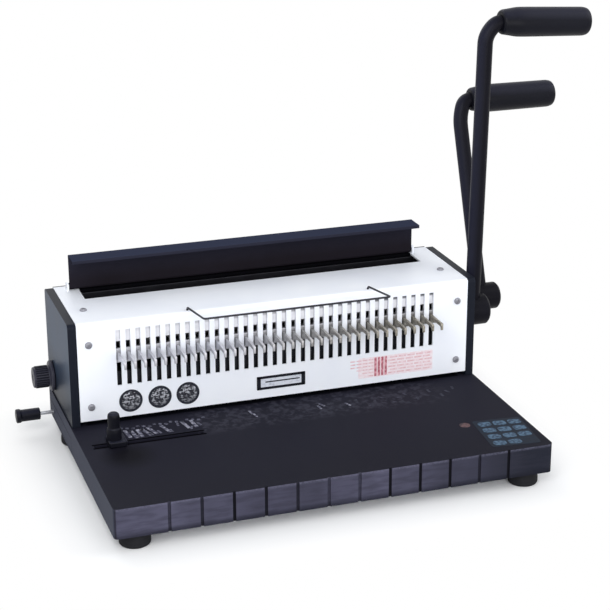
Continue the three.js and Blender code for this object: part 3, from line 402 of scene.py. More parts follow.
# %% Foot rubber
rubber = Finish("foot_rubber", (20, 20, 24), 0.82, gloss=0.2)
chalk = rubber.noise(6.0, 4.0)
chalky = rubber.mix(chalk, (17, 17, 20), (30, 30, 34))
rubber.coat(chalky, 0.74 + chalk * 0.16, rubber.noise(0.8, 3.0), depth=0.08, strength=0.5)

# %% [markdown]
# Bare metal is ground, blackened or zinc plated. Ground steel gets fine lines along X, because
# its long parts were ground that way, and the plated parts get small spangles. The punch tooling
# in the throat is blued and oiled, and it is made nearly black, partly as painted shade for the
# shadow under the cover's edge.


# %% Metals
def metal(name, colour, roughness, line, line_depth):
    made = Finish(name, colour, roughness, metallic=1.0)
    lines = made.noise(line, 2.0, (0.02, 1, 1))
    tarnish = made.noise(18.0, 3.0)
    tarnished = made.mix(tarnish, made.shift(-0.16), made.shift(0.1))
    gloss_drift = roughness - 0.06 + tarnish * 0.12 + lines * 0.05
    made.coat(tarnished, gloss_drift, lines, depth=line_depth, strength=0.3)
    return made


steel = metal("ground_steel", (176, 174, 174), 0.4, 0.4, 0.02)
dark_steel = metal("blackened_steel", (60, 60, 66), 0.42, 0.6, 0.02)
zinc = metal("zinc_plate", (186, 188, 194), 0.36, 0.5, 0.01)
# Nearly black, partly as painted shade for the shadow in the throat under the cover's edge.
blued = Finish("blued_tool_steel", (16, 17, 25), 0.5, metallic=0.3, gloss=0.1)
oil = blued.noise(14.0, 3.0)
oiled = blued.mix(oil, (11, 12, 19), (22, 23, 33))
blued.coat(oiled, 0.44 + oil * 0.16, blued.noise(0.6, 2.0, (0.03, 1, 1)), depth=0.02, strength=0.3)

# %% [markdown]
# The comb hooks are nickel plated, and the plate has gone warm and spotty towards the right end,
# where hands reach for the levers. A soft step along X blends the two colours, and small spots of
# noise eat into it.

# %% Worn nickel on the hooks
nickel = Finish("worn_nickel_plate", (190, 190, 192), 0.42, metallic=0.75)
blotch = nickel.noise(7.0, 4.0)
speck = nickel.noise(2.2, 3.0)
warm_end = (nickel.along(0) - middle_x).above(20 * MM, 150 * MM)
plated = nickel.mix(blotch, (180, 180, 187), (220, 220, 227))
worn = nickel.mix(blotch, (124, 120, 111), (180, 174, 162))
spots = speck.above(0.56, 0.1) * warm_end * 0.6
spotted = nickel.mix(warm_end, plated, worn).under(spots, 84, 80, 72)
nickel.coat(spotted, 0.34 + blotch * 0.22, speck, depth=0.05, strength=0.4)

# %% [markdown]
# The plate behind the cover sits in the dark and was never touched, so its nickel is clean, with a
# faint mist. Along the roots of the hooks the plate is darker, more so towards the levers. A painted
# shadow under the cover's edge darkens the plate's upper edge in the slots, also more so towards the
# levers.

# %% Clean nickel on the hooks' plate
bright_plate = Finish("clean_nickel_plate", (206, 206, 212), 0.42, metallic=0.5)
mist = bright_plate.noise(5.0, 3.0)
to_the_levers = (bright_plate.along(0) - middle_x).above(-20 * MM, 240 * MM)
root_strip_colour = bright_plate.mix(to_the_levers, (160, 160, 166), (94, 92, 89))
above_hooks = bright_plate.along(2).below(102.6 * MM, 1.6 * MM) * (0.55 + mist * 0.6)
clean = bright_plate.mix(mist, (204, 205, 211), (234, 234, 239))
# Painted shadow under the cover's edge at the top of each slot.
slot_top_shadow = bright_plate.along(2).above(117.3 * MM, 1.6 * MM) * to_the_levers
with_painted_light = clean.under(slot_top_shadow, 92, 94, 101)
hook_plate_colour = bright_plate.mix(above_hooks, with_painted_light, root_strip_colour)
bright_plate.coat(hook_plate_colour, 0.4 + mist * 0.16, mist, depth=0.03, strength=0.3)

# %% [markdown]
# The record names a material slot for each CAD part, so a small dictionary is enough to give all
# of them their finish. The parts of the throat get the blued steel instead of their slot's metal.

# %% Give every CAD part its finish
finishes = {
    "charcoal_paint": charcoal,
    "slate_paint": slate,
    "white_paint": white,
    "black_paint": black,
    "black_plastic": plastic,
    "foot_rubber": rubber,
    "tool_steel": steel,
    "dark_steel": dark_steel,
    "zinc_plate": zinc,
}
slot_of = {part["node"]: part["material_slot"] for part in frame["record"]["subparts"]}
bodies = frame["record"]["behaviour"]["bodies"]
body_of = {node: body for body, members in bodies.items() for node in members}
own_finish = {
    "die_plate": blued,
    "pin_guide": blued,
    "depth_stop": blued,
    "size_dial_knob": worn_plastic,
    "closer_flap": flap_paint,
}
for node, piece in frame["nodes"].items():
    for slot in piece.material_slots:
        slot.material = own_finish.get(node, finishes[slot_of[node]]).material
print(len(frame["nodes"]), "parts finished")

# %% [markdown]
# Real edges are never perfectly sharp, and the thin highlight along an edge tells the eye what
# the part is made of. The first kind of finer piece is therefore a copy of a CAD part with its
# loose triangles merged, its flat faces joined, and a small bevel on every edge over 35 degrees.
# The bevel takes the place of marked sharp edges, and the normals are weighted by area, so that big
# flat faces with holes in them still shade flat.


# %% Ease the edges of a sheet part
def enter(name, mesh, body, slot_name, nodes=(), finish=None):
    """Puts a finished mesh in the scene, on its body and in the place of any CAD parts."""
    mesh.materials.clear()
    mesh.materials.append((finish or finishes[slot_name]).material)
    piece = linked(name, mesh)
    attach(piece, body)
    if nodes:
        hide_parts(*nodes)
    return piece


def stand_in(name, mesh, nodes, finish=None):
    """Enters a mesh on the body and in the slot of the CAD parts that it replaces."""
    first = nodes[0]
    return enter(name, mesh, body_of[first], slot_of[first], nodes, finish or own_finish.get(first))


def merged_copy(node):
    """A CAD part as a bmesh with its doubles merged and its flat faces joined."""
    work = bmesh.new()
    work.from_mesh(frame["nodes"][node].data)
    bmesh.ops.remove_doubles(work, verts=work.verts, dist=0.002 * MM)
    bmesh.ops.dissolve_limit(work, angle_limit=radians(1), verts=work.verts, edges=work.edges)
    return work


def settled(work, name, angle=30):
    """A bmesh as a mesh that shades smooth except over edges with more than the given angle."""
    mesh = bpy.data.meshes.new(name)
    work.to_mesh(mesh)
    work.free()
    mesh.shade_smooth()
    mesh.set_sharp_from_angle(angle=radians(angle))
    return mesh


def bevelled(piece, width, segments=2):
    bevel = piece.modifiers.new("edge", "BEVEL")
    bevel.width = width * MM
    bevel.segments = segments
    bevel.limit_method = "ANGLE"
    bevel.angle_limit = radians(35)
    flat = piece.modifiers.new("flat", "WEIGHTED_NORMAL")
    flat.keep_sharp = True
    return piece


edge_widths = {
    "base_tray": 0.6,
    "front_cover": 0.25,
    "rear_cover": 0.3,
    "side_plate_left": 0.6,
    "side_plate_right": 0.6,
    "closer_flap": 0.35,
    "closer_jaw": 0.3,
    "closer_anvil": 0.4,
    "chip_drawer": 0.25,
    "base_plate": 0.2,
    "die_plate": 0.15,
    "pin_guide": 0.3,
    "punch_pin_bar": 0.2,
}
for node, width in edge_widths.items():
    copy = settled(merged_copy(node), node + "_eased", 180)
    bevelled(stand_in(copy.name, copy, [node]), width)
    print(copy.name, len(copy.polygons), "faces before its bevel")

# %% [markdown]
# Round parts are turned, as on a lathe: a profile of radius and height goes round an axis. The CAD
# has few facets, so a profile with rounded corners and 72 steps takes its place. One function
# rounds the corners of a profile or of a rod's path, since both are only lists of points.


# %% Turn round parts
def softened(points, bend, steps=5):
    """A path whose inner corners are rounded off. The rounding starts `bend` from a corner, or less."""
    points = [Vector(point) for point in points]
    path = [points[0]]
    for before, corner, after in zip(points, points[1:], points[2:]):
        reach = min(bend, (before - corner).length * 0.45, (after - corner).length * 0.45)
        start = corner + (before - corner).normalized() * reach
        end = corner + (after - corner).normalized() * reach
        for i in range(steps + 1):
            t = i / steps
            path.append(start * (1 - t) ** 2 + corner * (2 * t * (1 - t)) + end * t ** 2)
    return path + [points[-1]]


def turned(name, profile, place, toward=(0, 0, 1), sides=72, bend=0.8):
    """A lathe mesh. Its profile of (radius, height) in millimetres meets the axis or is a closed ring."""
    work = bmesh.new()
    angles = [2 * pi * i / sides for i in range(sides)]
    rows = []
    for radius, height in softened(profile, bend):
        if radius < 0.001:
            ring = [(0, 0, height * MM)]
        else:
            ring = [(radius * cos(a) * MM, radius * sin(a) * MM, height * MM) for a in angles]
        rows.append([work.verts.new(place) for place in ring])
    for low, high in zip(rows, rows[1:]):
        for i in range(sides):
            j = (i + 1) % sides
            corners = [low[i % len(low)], low[j % len(low)], high[j % len(high)], high[i % len(high)]]
            distinct = list(dict.fromkeys(corners))
            if len(distinct) > 2:
                work.faces.new(distinct)
    bmesh.ops.remove_doubles(work, verts=work.verts, dist=0.001 * MM)
    bmesh.ops.recalc_face_normals(work, faces=work.faces)
    aim = Vector(toward).to_track_quat("Z", "Y").to_matrix().to_4x4()
    bmesh.ops.transform(work, matrix=Matrix.Translation(place) @ aim, verts=work.verts)
    return settled(work, name, 40)


def plain_mesh(holder):
    """What an object shows once its curve or its modifiers are worked out, as a mesh of its own."""
    view = bpy.context.evaluated_depsgraph_get()
    return bpy.data.meshes.new_from_object(holder.evaluated_get(view))


def swept(name, points, radius, sides=32):
    """A round rod through a path of places."""
    curve = bpy.data.curves.new(name, "CURVE")
    curve.dimensions = "3D"
    curve.bevel_depth = radius * MM
    curve.bevel_resolution = sides // 4 - 1
    curve.use_fill_caps = True
    spline = curve.splines.new("POLY")
    spline.points.add(len(points) - 1)
    for point, place in zip(spline.points, points):
        point.co = (*place, 1)
    holder = linked(name, curve)
    made = plain_mesh(holder)
    bpy.data.objects.remove(holder)
    work = bmesh.new()
    work.from_mesh(made)
    bmesh.ops.remove_doubles(work, verts=work.verts, dist=0.001 * MM)
    bmesh.ops.recalc_face_normals(work, faces=work.faces)
    return settled(work, name, 50)


print("lathe and sweep ready")

# %% [markdown]
# Both levers are bent from round bar. Each rod stands in a round hub, slants through an elbow and
# ends inside a moulded grip. The grip is widest near its neck, and its end is rounded.

# %% Levers
TO_THE_RIGHT_END = (1, 0, 0)
SHAFT_Z = 89.998
ROD_RADIUS = 6.66
ROD_BEND = 7.5
ROD_IN_GRIP = 40
GRIP_LENGTH = 84
grip_profile = [
    (0, 0.4), (9.2, 0.4), (10.5, 1.9), (11.2, 7), (12.6, 15.5), (12.69, 24), (12.5, 60),
    (12.4, 78), (11.4, 82), (8.4, 83.7), (0, 83.99),
]
levers = {
    "punch": {
        "axis": (24.33, SHAFT_Z), "hub": (181.75, 203.4, 13.7), "rod_x": 190.05,
        "top": (-2.5, 259.0), "foot": (0, 8.3), "lean_x": 3.1, "elbow": (9.5, 11.5),
        "grip_x": 205.85, "drop": 4.4,
    },
    "closer": {
        "axis": (54.35, SHAFT_Z), "hub": (198.35, 228.1, 12.3), "rod_x": 211.35,
        "top": (51.26, 173.07), "foot": (2.4, 7.98), "lean_x": -4.2, "elbow": (5.2, 16.0),
        "grip_x": 217.55, "drop": 0.0,
    },
}
for lever_name, own in levers.items():
    axis_y, axis_z = own["axis"]
    top_y, top_z = own["top"]
    hub_low, hub_high, radius = own["hub"]
    elbow_x, elbow_drop = own["elbow"]
    share = 1 - elbow_drop / top_z
    bent_x = own["rod_x"] + own["lean_x"]
    grip_end_z = axis_z + top_z - own["drop"] * ROD_IN_GRIP / GRIP_LENGTH
    path = [
        at(own["rod_x"], axis_y + own["foot"][0], axis_z + own["foot"][1]),
        at(bent_x, axis_y + top_y * share, axis_z + top_z * share),
        at(bent_x + elbow_x, axis_y + top_y, axis_z + top_z),
        at(own["grip_x"] + ROD_IN_GRIP, axis_y + top_y, grip_end_z),
    ]
    rod = swept(lever_name + "_rod", softened(path, ROD_BEND * MM, 8), ROD_RADIUS)
    stand_in(lever_name + "_rod", rod, [lever_name + "_lever_rod"])
    length = hub_high - hub_low
    hub = turned(lever_name + "_hub", [
        (0, 0), (radius - 0.7, 0), (radius, 0.7), (radius, length - 2.2), (radius - 2.2, length),
        (7.4, length), (6.8, length - 1), (0, length - 1),
    ], at(hub_low, axis_y, axis_z), TO_THE_RIGHT_END)
    stand_in(lever_name + "_hub", hub, [lever_name + "_lever_hub"])
    along = (GRIP_LENGTH, 0, -own["drop"])
    neck = at(own["grip_x"], axis_y + top_y, axis_z + top_z)
    grip = turned(lever_name + "_grip", grip_profile, neck, along, bend=3)
    stand_in(lever_name + "_grip", grip, [lever_name + "_lever_grip"])
    print(lever_name, "lever:", len(rod.polygons) + len(hub.polygons) + len(grip.polygons), "faces")
sleeve_low = levers["punch"]["hub"][0]
spacer = turned("spacer", [
    (6.2, 0.4), (9.0, 0.4), (9.4, 0.8), (9.4, 7.2), (8.9, 7.7), (8.9, 8.5), (9.4, 9), (9.4, 15.4),
    (9.0, 15.8), (6.2, 15.8), (6.2, 0.4),
], at(sleeve_low, *levers["closer"]["axis"]), TO_THE_RIGHT_END, bend=0.3)
stand_in("closer_sleeve", spacer, ["closer_spacer"])

# %% [markdown]
# The dial, the drawer pull, the feet and the edge guide's post are turned in the same way. The
# drawer pull has a waist behind its head, so that two fingers can hold it.

# %% Knobs, feet and pins
TO_THE_LEFT_END = (-1, 0, 0)
dial_place = at(-181.75, 78.7, 55.3)
pull_y, pull_z = 83, 19.3
dial = turned("dial", [
    (0, 0.1), (12.9, 0.1), (13.4, 0.6), (13.4, 2.4), (12.5, 3.3), (9.7, 3.5), (9.1, 4.2), (9.1, 16.9),
    (8.7, 17.5), (3.2, 17.5), (2.8, 17.1), (0, 17.1),
], dial_place, TO_THE_LEFT_END, bend=0.5)
stand_in("size_dial", dial, ["size_dial_knob"])
pull = turned("pull", [
    (0, 0), (4.9, 0), (5.3, 0.5), (5.3, 16.2), (5.7, 17), (6.15, 17.4), (6.15, 20.3), (5.6, 20.9),
    (0, 20.9),
], at(-194.5, pull_y, pull_z), TO_THE_LEFT_END, bend=0.5)
stand_in("drawer_pull", pull, ["drawer_pull_knob"])
pull_rod = turned("pull_rod", [(0, 0), (1.75, 0), (1.75, 23), (0, 23)],
                  at(-181.6, pull_y, pull_z), TO_THE_LEFT_END, 32)
stand_in("pull_rod", pull_rod, ["drawer_pull_rod"], zinc)
pin = turned("flap_pin", [(0, 0), (1.2, 0), (1.55, 0.4), (1.55, 321.6), (1.2, 322), (0, 322)],
             at(-164.5, 87.65, 132), TO_THE_RIGHT_END, 24, 0.3)
stand_in("flap_pin", pin, ["flap_hinge_pin"])
for node in [name for name in frame["nodes"] if name.startswith("foot_")]:
    low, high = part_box(node)
    place = Vector(((low.x + high.x) / 2, (low.y + high.y) / 2, 0))
    foot = turned(node, [
        (0, 1.2), (5.5, 1.2), (6, 0), (11.3, 0), (12.45, 1.4), (12.45, 5.6), (11.6, 9.5),
        (11.2, 12.45), (0, 12.45),
    ], place, bend=1.2)
    stand_in(node + "_turned", foot, [node])
print("dial", len(dial.polygons), "pull", len(pull.polygons), "faces")

# %% [markdown]
# Two coil springs lift the pin bar. Each is one wire swept along a helix.

# %% Return springs
SPRING_TURNS = 6
SPRING_STEPS = 28
WIRE = 0.56
WIRE_ROOM = 0.62
for node in ("return_spring_left", "return_spring_right"):
    low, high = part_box(node)
    middle = (low + high) / 2
    coil_radius = (high.x - low.x) / 2 - WIRE_ROOM * MM
    climb = high.z - low.z - 2.2 * WIRE * MM
    helix = []
    for i in range(SPRING_TURNS * SPRING_STEPS + 1):
        a = 2 * pi * i / SPRING_STEPS
        rise = climb * i / (SPRING_TURNS * SPRING_STEPS)
        x, y = middle.x + coil_radius * cos(a), middle.y + coil_radius * sin(a)
        helix.append(Vector((x, y, low.z + 1.1 * WIRE * MM + rise)))
    coil = stand_in(node + "_coil", swept(node + "_coil", helix, WIRE, 12), [node])
    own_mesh(coil)

# %% [markdown]
# The edge guide is one moulding: a low foot that slides along the deck, and a post for the thumb.
# The foot starts as a cube that is stretched to its six sides, and a bevel rounds it. The post is
# joined to it as a second closed shell, sunk into the foot.


# %% Edge guide
def slab(low, high):
    """A box between two corners, as a bmesh."""
    work = bmesh.new()
    bmesh.ops.create_cube(work, size=1)
    stretch = Matrix.Diagonal((*(high - low), 1))
    placed = Matrix.Translation((low + high) / 2) @ stretch
    bmesh.ops.transform(work, matrix=placed, verts=work.verts)
    return work


guide_work = slab(at(-160.85, -50.45, 37.85), at(-145.95, -33.55, 42.8))
post = turned("guide_post", [
    (0, 0), (6.1, 0), (6.1, 8.8), (5.7, 11.5), (5.0, 12.6), (5.0, 22.2), (4.4, 24.2), (3.2, 25.1),
    (0, 25.2),
], at(-155.1, -42, 40.5), bend=1.6, sides=48)
guide_work.from_mesh(post)
guide = settled(guide_work, "edge_guide_post")
guide_piece = bevelled(stand_in("edge_guide_post", guide, ["edge_guide"]), 1.0, 3)
print(guide_piece.name, len(guide.polygons), "faces")

# %% [markdown]
# The wire bail is one bent wire. Its path has six corners, and the bends are small, so the same
# rounding that served the levers serves here.

# %% Wire bail
BAIL_RADIUS = 0.85
BAIL_BEND = 3.2
left_arm_x, right_arm_x = -79, 82
arm = [(5, 123.9), (5, 130.9), (-48.45, 139.27)]
bail_path = [at(left_arm_x, y, z) for y, z in arm] + [at(right_arm_x, y, z) for y, z in reversed(arm)]
bail = swept("bail_wire", softened(bail_path, BAIL_BEND * MM, 8), BAIL_RADIUS, 20)
stand_in("bail_wire", bail, ["wire_bail"])
print("bail", len(bail.polygons), "faces")

# %% [markdown]
# Things that repeat are best left to Geometry Nodes: one small shape is modelled, and a tree puts
# a copy on every point. The copies are instances until Realize Instances turns them into real
# faces, and Set Material gives them their finish. Two trees do all the repeats here. The first
# takes the points of a mesh, the second makes a straight row from a count and a pitch.


# %% Build the two trees
class Repeat(Nodes):
    """A Geometry Nodes tree with named inputs that ends in one mesh."""

    def __init__(self, name, sockets):
        super().__init__(bpy.data.node_groups.new(name, "GeometryNodeTree"))
        for label, kind in sockets.items():
            self.tree.interface.new_socket(label, in_out="INPUT", socket_type="NodeSocket" + kind)
        self.tree.interface.new_socket("Copies", in_out="OUTPUT", socket_type="NodeSocketGeometry")
        self.given = self.tree.nodes.new("NodeGroupInput")

    def input(self, label):
        return Value(self, self.given.outputs[label])

    def copies(self, points):
        """Copies of the piece on the points, each turned a little about its own axis."""
        piece = self.node("GeometryNodeObjectInfo", inputs={"Object": self.input("Piece")}, out="Geometry")
        spin = self.input("Spin")
        low = self.node("ShaderNodeCombineXYZ", inputs={"Z": 0 - spin})
        high = self.node("ShaderNodeCombineXYZ", inputs={"Z": spin})
        turn = {"Min": low, "Max": high, "Seed": self.input("Seed")}
        own_turn = self.node("FunctionNodeRandomValue", {"data_type": "FLOAT_VECTOR"}, turn)
        placed = self.node("GeometryNodeInstanceOnPoints", inputs={
            "Points": points, "Instance": piece, "Rotation": self.input("Turn"),
        })
        spun = self.node("GeometryNodeRotateInstances", {}, {"Instances": placed, "Rotation": own_turn})
        real = self.node("GeometryNodeRealizeInstances", inputs={"Geometry": spun})
        paint = {"Geometry": real, "Material": self.input("Finish")}
        painted = self.node("GeometryNodeSetMaterial", inputs=paint)
        self.node("NodeGroupOutput", inputs={"Copies": painted})


common = {"Piece": "Object", "Turn": "Vector", "Spin": "Float", "Seed": "Int", "Finish": "Material"}
on_points = Repeat("copies_on_points", {"Points": "Geometry", **common})
on_points.copies(on_points.input("Points"))
in_row = Repeat("copies_in_a_row", {"Count": "Int", "Step": "Vector", "Start": "Vector", **common})
row = in_row.node("GeometryNodeMeshLine", {"mode": "OFFSET"}, {
    "Count": in_row.input("Count"), "Start Location": in_row.input("Start"), "Offset": in_row.input("Step"),
})
in_row.copies(row)
print("trees:", on_points.tree.name, in_row.tree.name)

# %% [markdown]
# A tree only becomes a piece of the machine when it is run. The modifier is set up by each
# socket's identifier, the result is taken from the evaluated object, and the modifier and its
# helper objects are removed again.


# %% Grow a tree into a plain mesh
SEED = 7


def grown(name, repeat, shape, finish, points=(), **values):
    """Runs a tree on one shape and gives back a plain mesh."""
    seeds = bpy.data.meshes.new(name + "_points")
    seeds.from_pydata([tuple(point) for point in points], [], [])
    holder = linked(name, seeds)
    source = bpy.data.objects.new(name + "_source", shape)
    modifier = holder.modifiers.new("copies", "NODES")
    modifier.node_group = repeat.tree
    given = {"Piece": source, "Finish": finish.material, "Seed": SEED, **values}
    for item in repeat.tree.interface.items_tree:
        if item.in_out == "INPUT" and item.name in given:
            modifier[item.identifier] = given[item.name]
    mesh = plain_mesh(holder)
    mesh.name = name
    holder.modifiers.clear()
    bpy.data.objects.remove(holder)
    bpy.data.objects.remove(source)
    print(name, len(mesh.polygons), "faces")
    return mesh


# %% [markdown]
# The screws have pan heads with a cross recess. The recess is cut by a Boolean modifier from two
# crossed bars, once, before the head is repeated. Each screw stops at its own angle, as screws do.


# %% Screws
def cut(mesh, cutter):
    """The first mesh with the second one cut out of it."""
    body = linked("cut_body", mesh)
    tool = linked("cut_tool", cutter)
    carve = body.modifiers.new("cut", "BOOLEAN")
    carve.operation, carve.solver, carve.object = "DIFFERENCE", "EXACT", tool
    result = plain_mesh(body)
    bpy.data.objects.remove(body)
    bpy.data.objects.remove(tool)
    result.shade_smooth()
    result.set_sharp_from_angle(angle=radians(35))
    return result


ORIGIN = Vector((0, 0, 0))
FLAT = (0, 0, 0)
UPRIGHT = (pi / 2, 0, 0)
HEAD_HEIGHT = 2.0
head = turned("screw_head", [
    (0, -4), (1.45, -4), (1.45, -0.05), (3.0, -0.05), (3.08, 0.5), (2.75, 1.3), (1.8, 1.8), (0, 1.95),
], ORIGIN, sides=40, bend=0.5)
for size_x, size_y in ((3.8, 0.8), (0.8, 3.8)):
    recess = slab(Vector((-size_x / 2, -size_y / 2, 0.9)) * MM, Vector((size_x / 2, size_y / 2, 3)) * MM)
    head = cut(head, settled(recess, "recess_arm"))
screw_finish = Finish("screw_zinc", (158, 158, 166), 0.45, metallic=0.35)
bloom = screw_finish.noise(1.6, 3.0)
bloomed = screw_finish.mix(bloom, (108, 108, 116), (164, 164, 172))
screw_finish.coat(bloomed, 0.4 + bloom * 0.2, bloom, depth=0.03, strength=0.3)
screw_groups = {
    "front": (UPRIGHT, ["cover_screw_left_low", "cover_screw_left_high",
                        "cover_screw_right_low", "cover_screw_right_high"]),
    "top": (FLAT, ["cover_screw_left_top", "cover_screw_right_top"]),
    "rear": ((-pi / 2, 0, 0), ["rear_screw_left", "rear_screw_right"]),
}
for side, (turn, nodes) in screw_groups.items():
    places = []
    for node in nodes:
        low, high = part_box(node)
        middle = (low + high) / 2
        seats = {
            "front": (middle.x, front_y, middle.z),
            "top": (middle.x, middle.y, high.z - HEAD_HEIGHT * MM),
            "rear": (middle.x, high.y - HEAD_HEIGHT * MM, middle.z),
        }
        places.append(seats[side])
    mesh = grown(side + "_screws", on_points, head, screw_finish, places, Turn=turn, Spin=1.4)
    stand_in(side + "_screws", mesh, nodes, screw_finish)

# %% [markdown]
# The hook bar is a plate behind the cover with 34 hooks that reach out through the slots. The
# plate stays a copy of the CAD part, cut off just behind the cover's face, and the hooks are a row
# from the second tree, with rounded edges that catch the light. One hook is a prism: its outline
# twice, side by side, with a wall between. Later cells make thin marks from prisms too.


# %% Hook bar and its row of hooks
def prism(*ends):
    """A bmesh between two outlines that have the same number of corners."""
    work = bmesh.new()
    first, second = [[work.verts.new(corner) for corner in end] for end in ends]
    work.faces.new(first)
    work.faces.new(second)
    for i in range(len(first)):
        j = (i + 1) % len(first)
        work.faces.new([first[i], first[j], second[j], second[i]])
    bmesh.ops.recalc_face_normals(work, faces=work.faces)
    return work


bar_work = merged_copy("comb_hook_bar")
everything = bar_work.verts[:] + bar_work.edges[:] + bar_work.faces[:]
cut_place = at(0, 1.2, 0)
bmesh.ops.bisect_plane(bar_work, geom=everything, plane_co=cut_place, plane_no=(0, -1, 0), clear_outer=True)
rims = [edge for edge in bar_work.edges if edge.is_boundary]
bmesh.ops.holes_fill(bar_work, edges=rims, sides=0)
bmesh.ops.recalc_face_normals(bar_work, faces=bar_work.faces)
bar_mesh = settled(bar_work, "hook_plate", 180)
bevelled(stand_in("hook_plate", bar_mesh, ["comb_hook_bar"], bright_plate), 0.25)

bar_points = [vertex.co for vertex in frame["nodes"]["comb_hook_bar"].data.vertices]
hook_top = max(co.z for co in bar_points if co.y < front_y - 20 * MM) / MM
print("hooks' upper face at", round(hook_top, 2))
PITCH = 8.467
SLOTS = 34
HOOK_HALF_WIDTH = 1.08
back, tip, root = 2.6, -24.9, -7.38
outline = softened([
    (back, 0), (tip, 0), (tip, -6.1), (-23.5, -6.1), (-23.3, -3.2), (-13, -3.2), (-1.5, root), (back, root),
], 1.1, 3)
hook_work = prism(*[
    [(x * MM, p[0] * MM, p[1] * MM) for p in outline] for x in (-HOOK_HALF_WIDTH, HOOK_HALF_WIDTH)
])
flat_edges = [edge for edge in hook_work.edges if abs(edge.verts[0].co.x - edge.verts[1].co.x) < 1e-6]
bmesh.ops.bevel(hook_work, geom=flat_edges, offset=0.32 * MM, segments=2, affect="EDGES", profile=0.5)
hook = settled(hook_work, "hook")
first_hook = at(-(SLOTS - 1) * PITCH / 2, 0, hook_top)
step = (PITCH * MM, 0, 0)
hooks = grown("comb_hooks", in_row, hook, nickel, Count=SLOTS, Start=first_hook, Step=step, Turn=FLAT)
enter("comb_hooks", hooks, "hook_bar", "tool_steel", finish=nickel)

# %% [markdown]
# The dial has a ribbed grip. The ribs are one thin bar with rounded ends, repeated on points
# round a circle. Each copy would need its own turn, but a round bar looks the same from all sides.

# %% Ribs of the dial
RIBS = 26
rib = turned("rib", [(0, 0), (0.45, 0.1), (0.62, 0.8), (0.62, 10.4), (0.45, 11.1), (0, 11.2)],
             ORIGIN, TO_THE_LEFT_END, 10, 0.3)
circle = []
for i in range(RIBS):
    a = 2 * pi * i / RIBS
    circle.append(dial_place + Vector((-4.6, 9.1 * cos(a), 9.1 * sin(a))) * MM)
ribs = grown("dial_ribs", on_points, rib, plastic, circle, Turn=FLAT)
enter("dial_ribs", ribs, "size_dial", "black_plastic")

# %% [markdown]
# Printed marks and pressed labels are thin raised shapes, a fraction of a millimetre high, so that
# they keep their place and size in every view. Each group of marks is one thin shape that the
# first tree repeats, so a table of shapes, inks and places says it all. The deck carries guide
# strokes near the slot, fainter ones where paper has rubbed them, and a small table for settings.


# %% Marks on the deck
def print_ink(name, colour, worn, share=0.5):
    """Ink that is worn through where its noise lies below the given share."""
    made = Finish(name, colour, 0.55, gloss=0.1)
    wear = made.noise(2.4, 4.0)
    inked = made.mix(wear.above(share, 0.25), worn, colour)
    made.coat(inked, 0.5 + wear * 0.2, wear, depth=0.02, strength=0.4)
    return made


def chip(width, length, height, corner=0.4):
    """A thin plate with rounded corners that lies flat about the origin."""
    x, y = width / 2 - corner, length / 2 - corner
    rim = []
    for corner_x, corner_y, start in ((-x, -y, pi), (x, -y, 1.5 * pi), (x, y, 0), (-x, y, 0.5 * pi)):
        for i in range(5):
            a = start + i * pi / 8
            rim.append((corner_x + corner * cos(a), corner_y + corner * sin(a)))
    return settled(prism(*[[(x * MM, y * MM, z * MM) for x, y in rim] for z in (0, height)]), "chip")


def printed(name, shape, ink, places, turn=FLAT, spin=0.0, slot_name="white_paint"):
    """Repeats a thin shape on its places, as one piece that belongs to the frame."""
    marks = grown(name, on_points, shape, ink, places, Turn=turn, Spin=spin)
    enter(name, marks, "frame", slot_name, finish=ink)


DECK = 37.49
RAISED = 0.12
stroke_ink = print_ink("pale_stroke_ink", (172, 172, 186), (74, 74, 90), 0.56)
haze_ink = print_ink("hazy_stroke_ink", (104, 104, 120), (40, 40, 52), 0.47)
faint_ink = print_ink("faint_stroke_ink", (62, 62, 76), (34, 34, 45), 0.5)
strokes = [
    (-140.5, -25.5), (-135.6, -27.5), (-130.4, -27), (-125, -26.5), (-119.6, -25), (-108.3, -25),
    (-90.6, -22.5), (-83.4, -22.5),
]
dots = [(-143 + 4.7 * i, -12.6 - 1.6 * (i % 3)) for i in range(16)]
between = [
    (-137.6, -22), (-132.6, -32), (-127.4, -21.5), (-122, -31), (-114.5, -29.5), (-104.6, -30.5),
    (-96.4, -20), (-87, -30), (-79, -24.5),
]
farther = [(-31.4, -16), (-29.6, -23), (27.4, -25), (31, -20.5), (52.6, -26.5)]
rubbed = [(62 + 7.5 * i, -22 - 6 * ((i * 5) % 3)) for i in range(13)]
deck_marks = {
    "guide_strokes": (chip(3.0, 16, RAISED), stroke_ink, strokes, 0.2, 0.16),
    "guide_dots": (chip(2.6, 3.2, RAISED), haze_ink, dots, 0, 0.5),
    "guide_haze": (chip(2.0, 6.5, RAISED), haze_ink, between, -0.1, 0.5),
    "lone_strokes": (chip(1.9, 7.5, RAISED), stroke_ink, farther, 0.25, 0.2),
    "faint_strokes": (chip(2.2, 6, RAISED), faint_ink, rubbed, 0.2, 0.6),
}
for name, (shape, ink, places, lean, spin) in deck_marks.items():
    printed(name, shape, ink, [at(x, y, DECK) for x, y in places], (0, 0, lean), spin)
# Black felt bars along both edges of the deck's slot, a dark band put as painted shade that makes the slot
# read wider and darker.
slot_shade_bars = [at(-125.95, y, DECK) for y in (-45.45, -38.55)]
printed("slot_liner", chip(95, 2.2, 0.06, 0.9), felt, slot_shade_bars, slot_name="black_plastic")

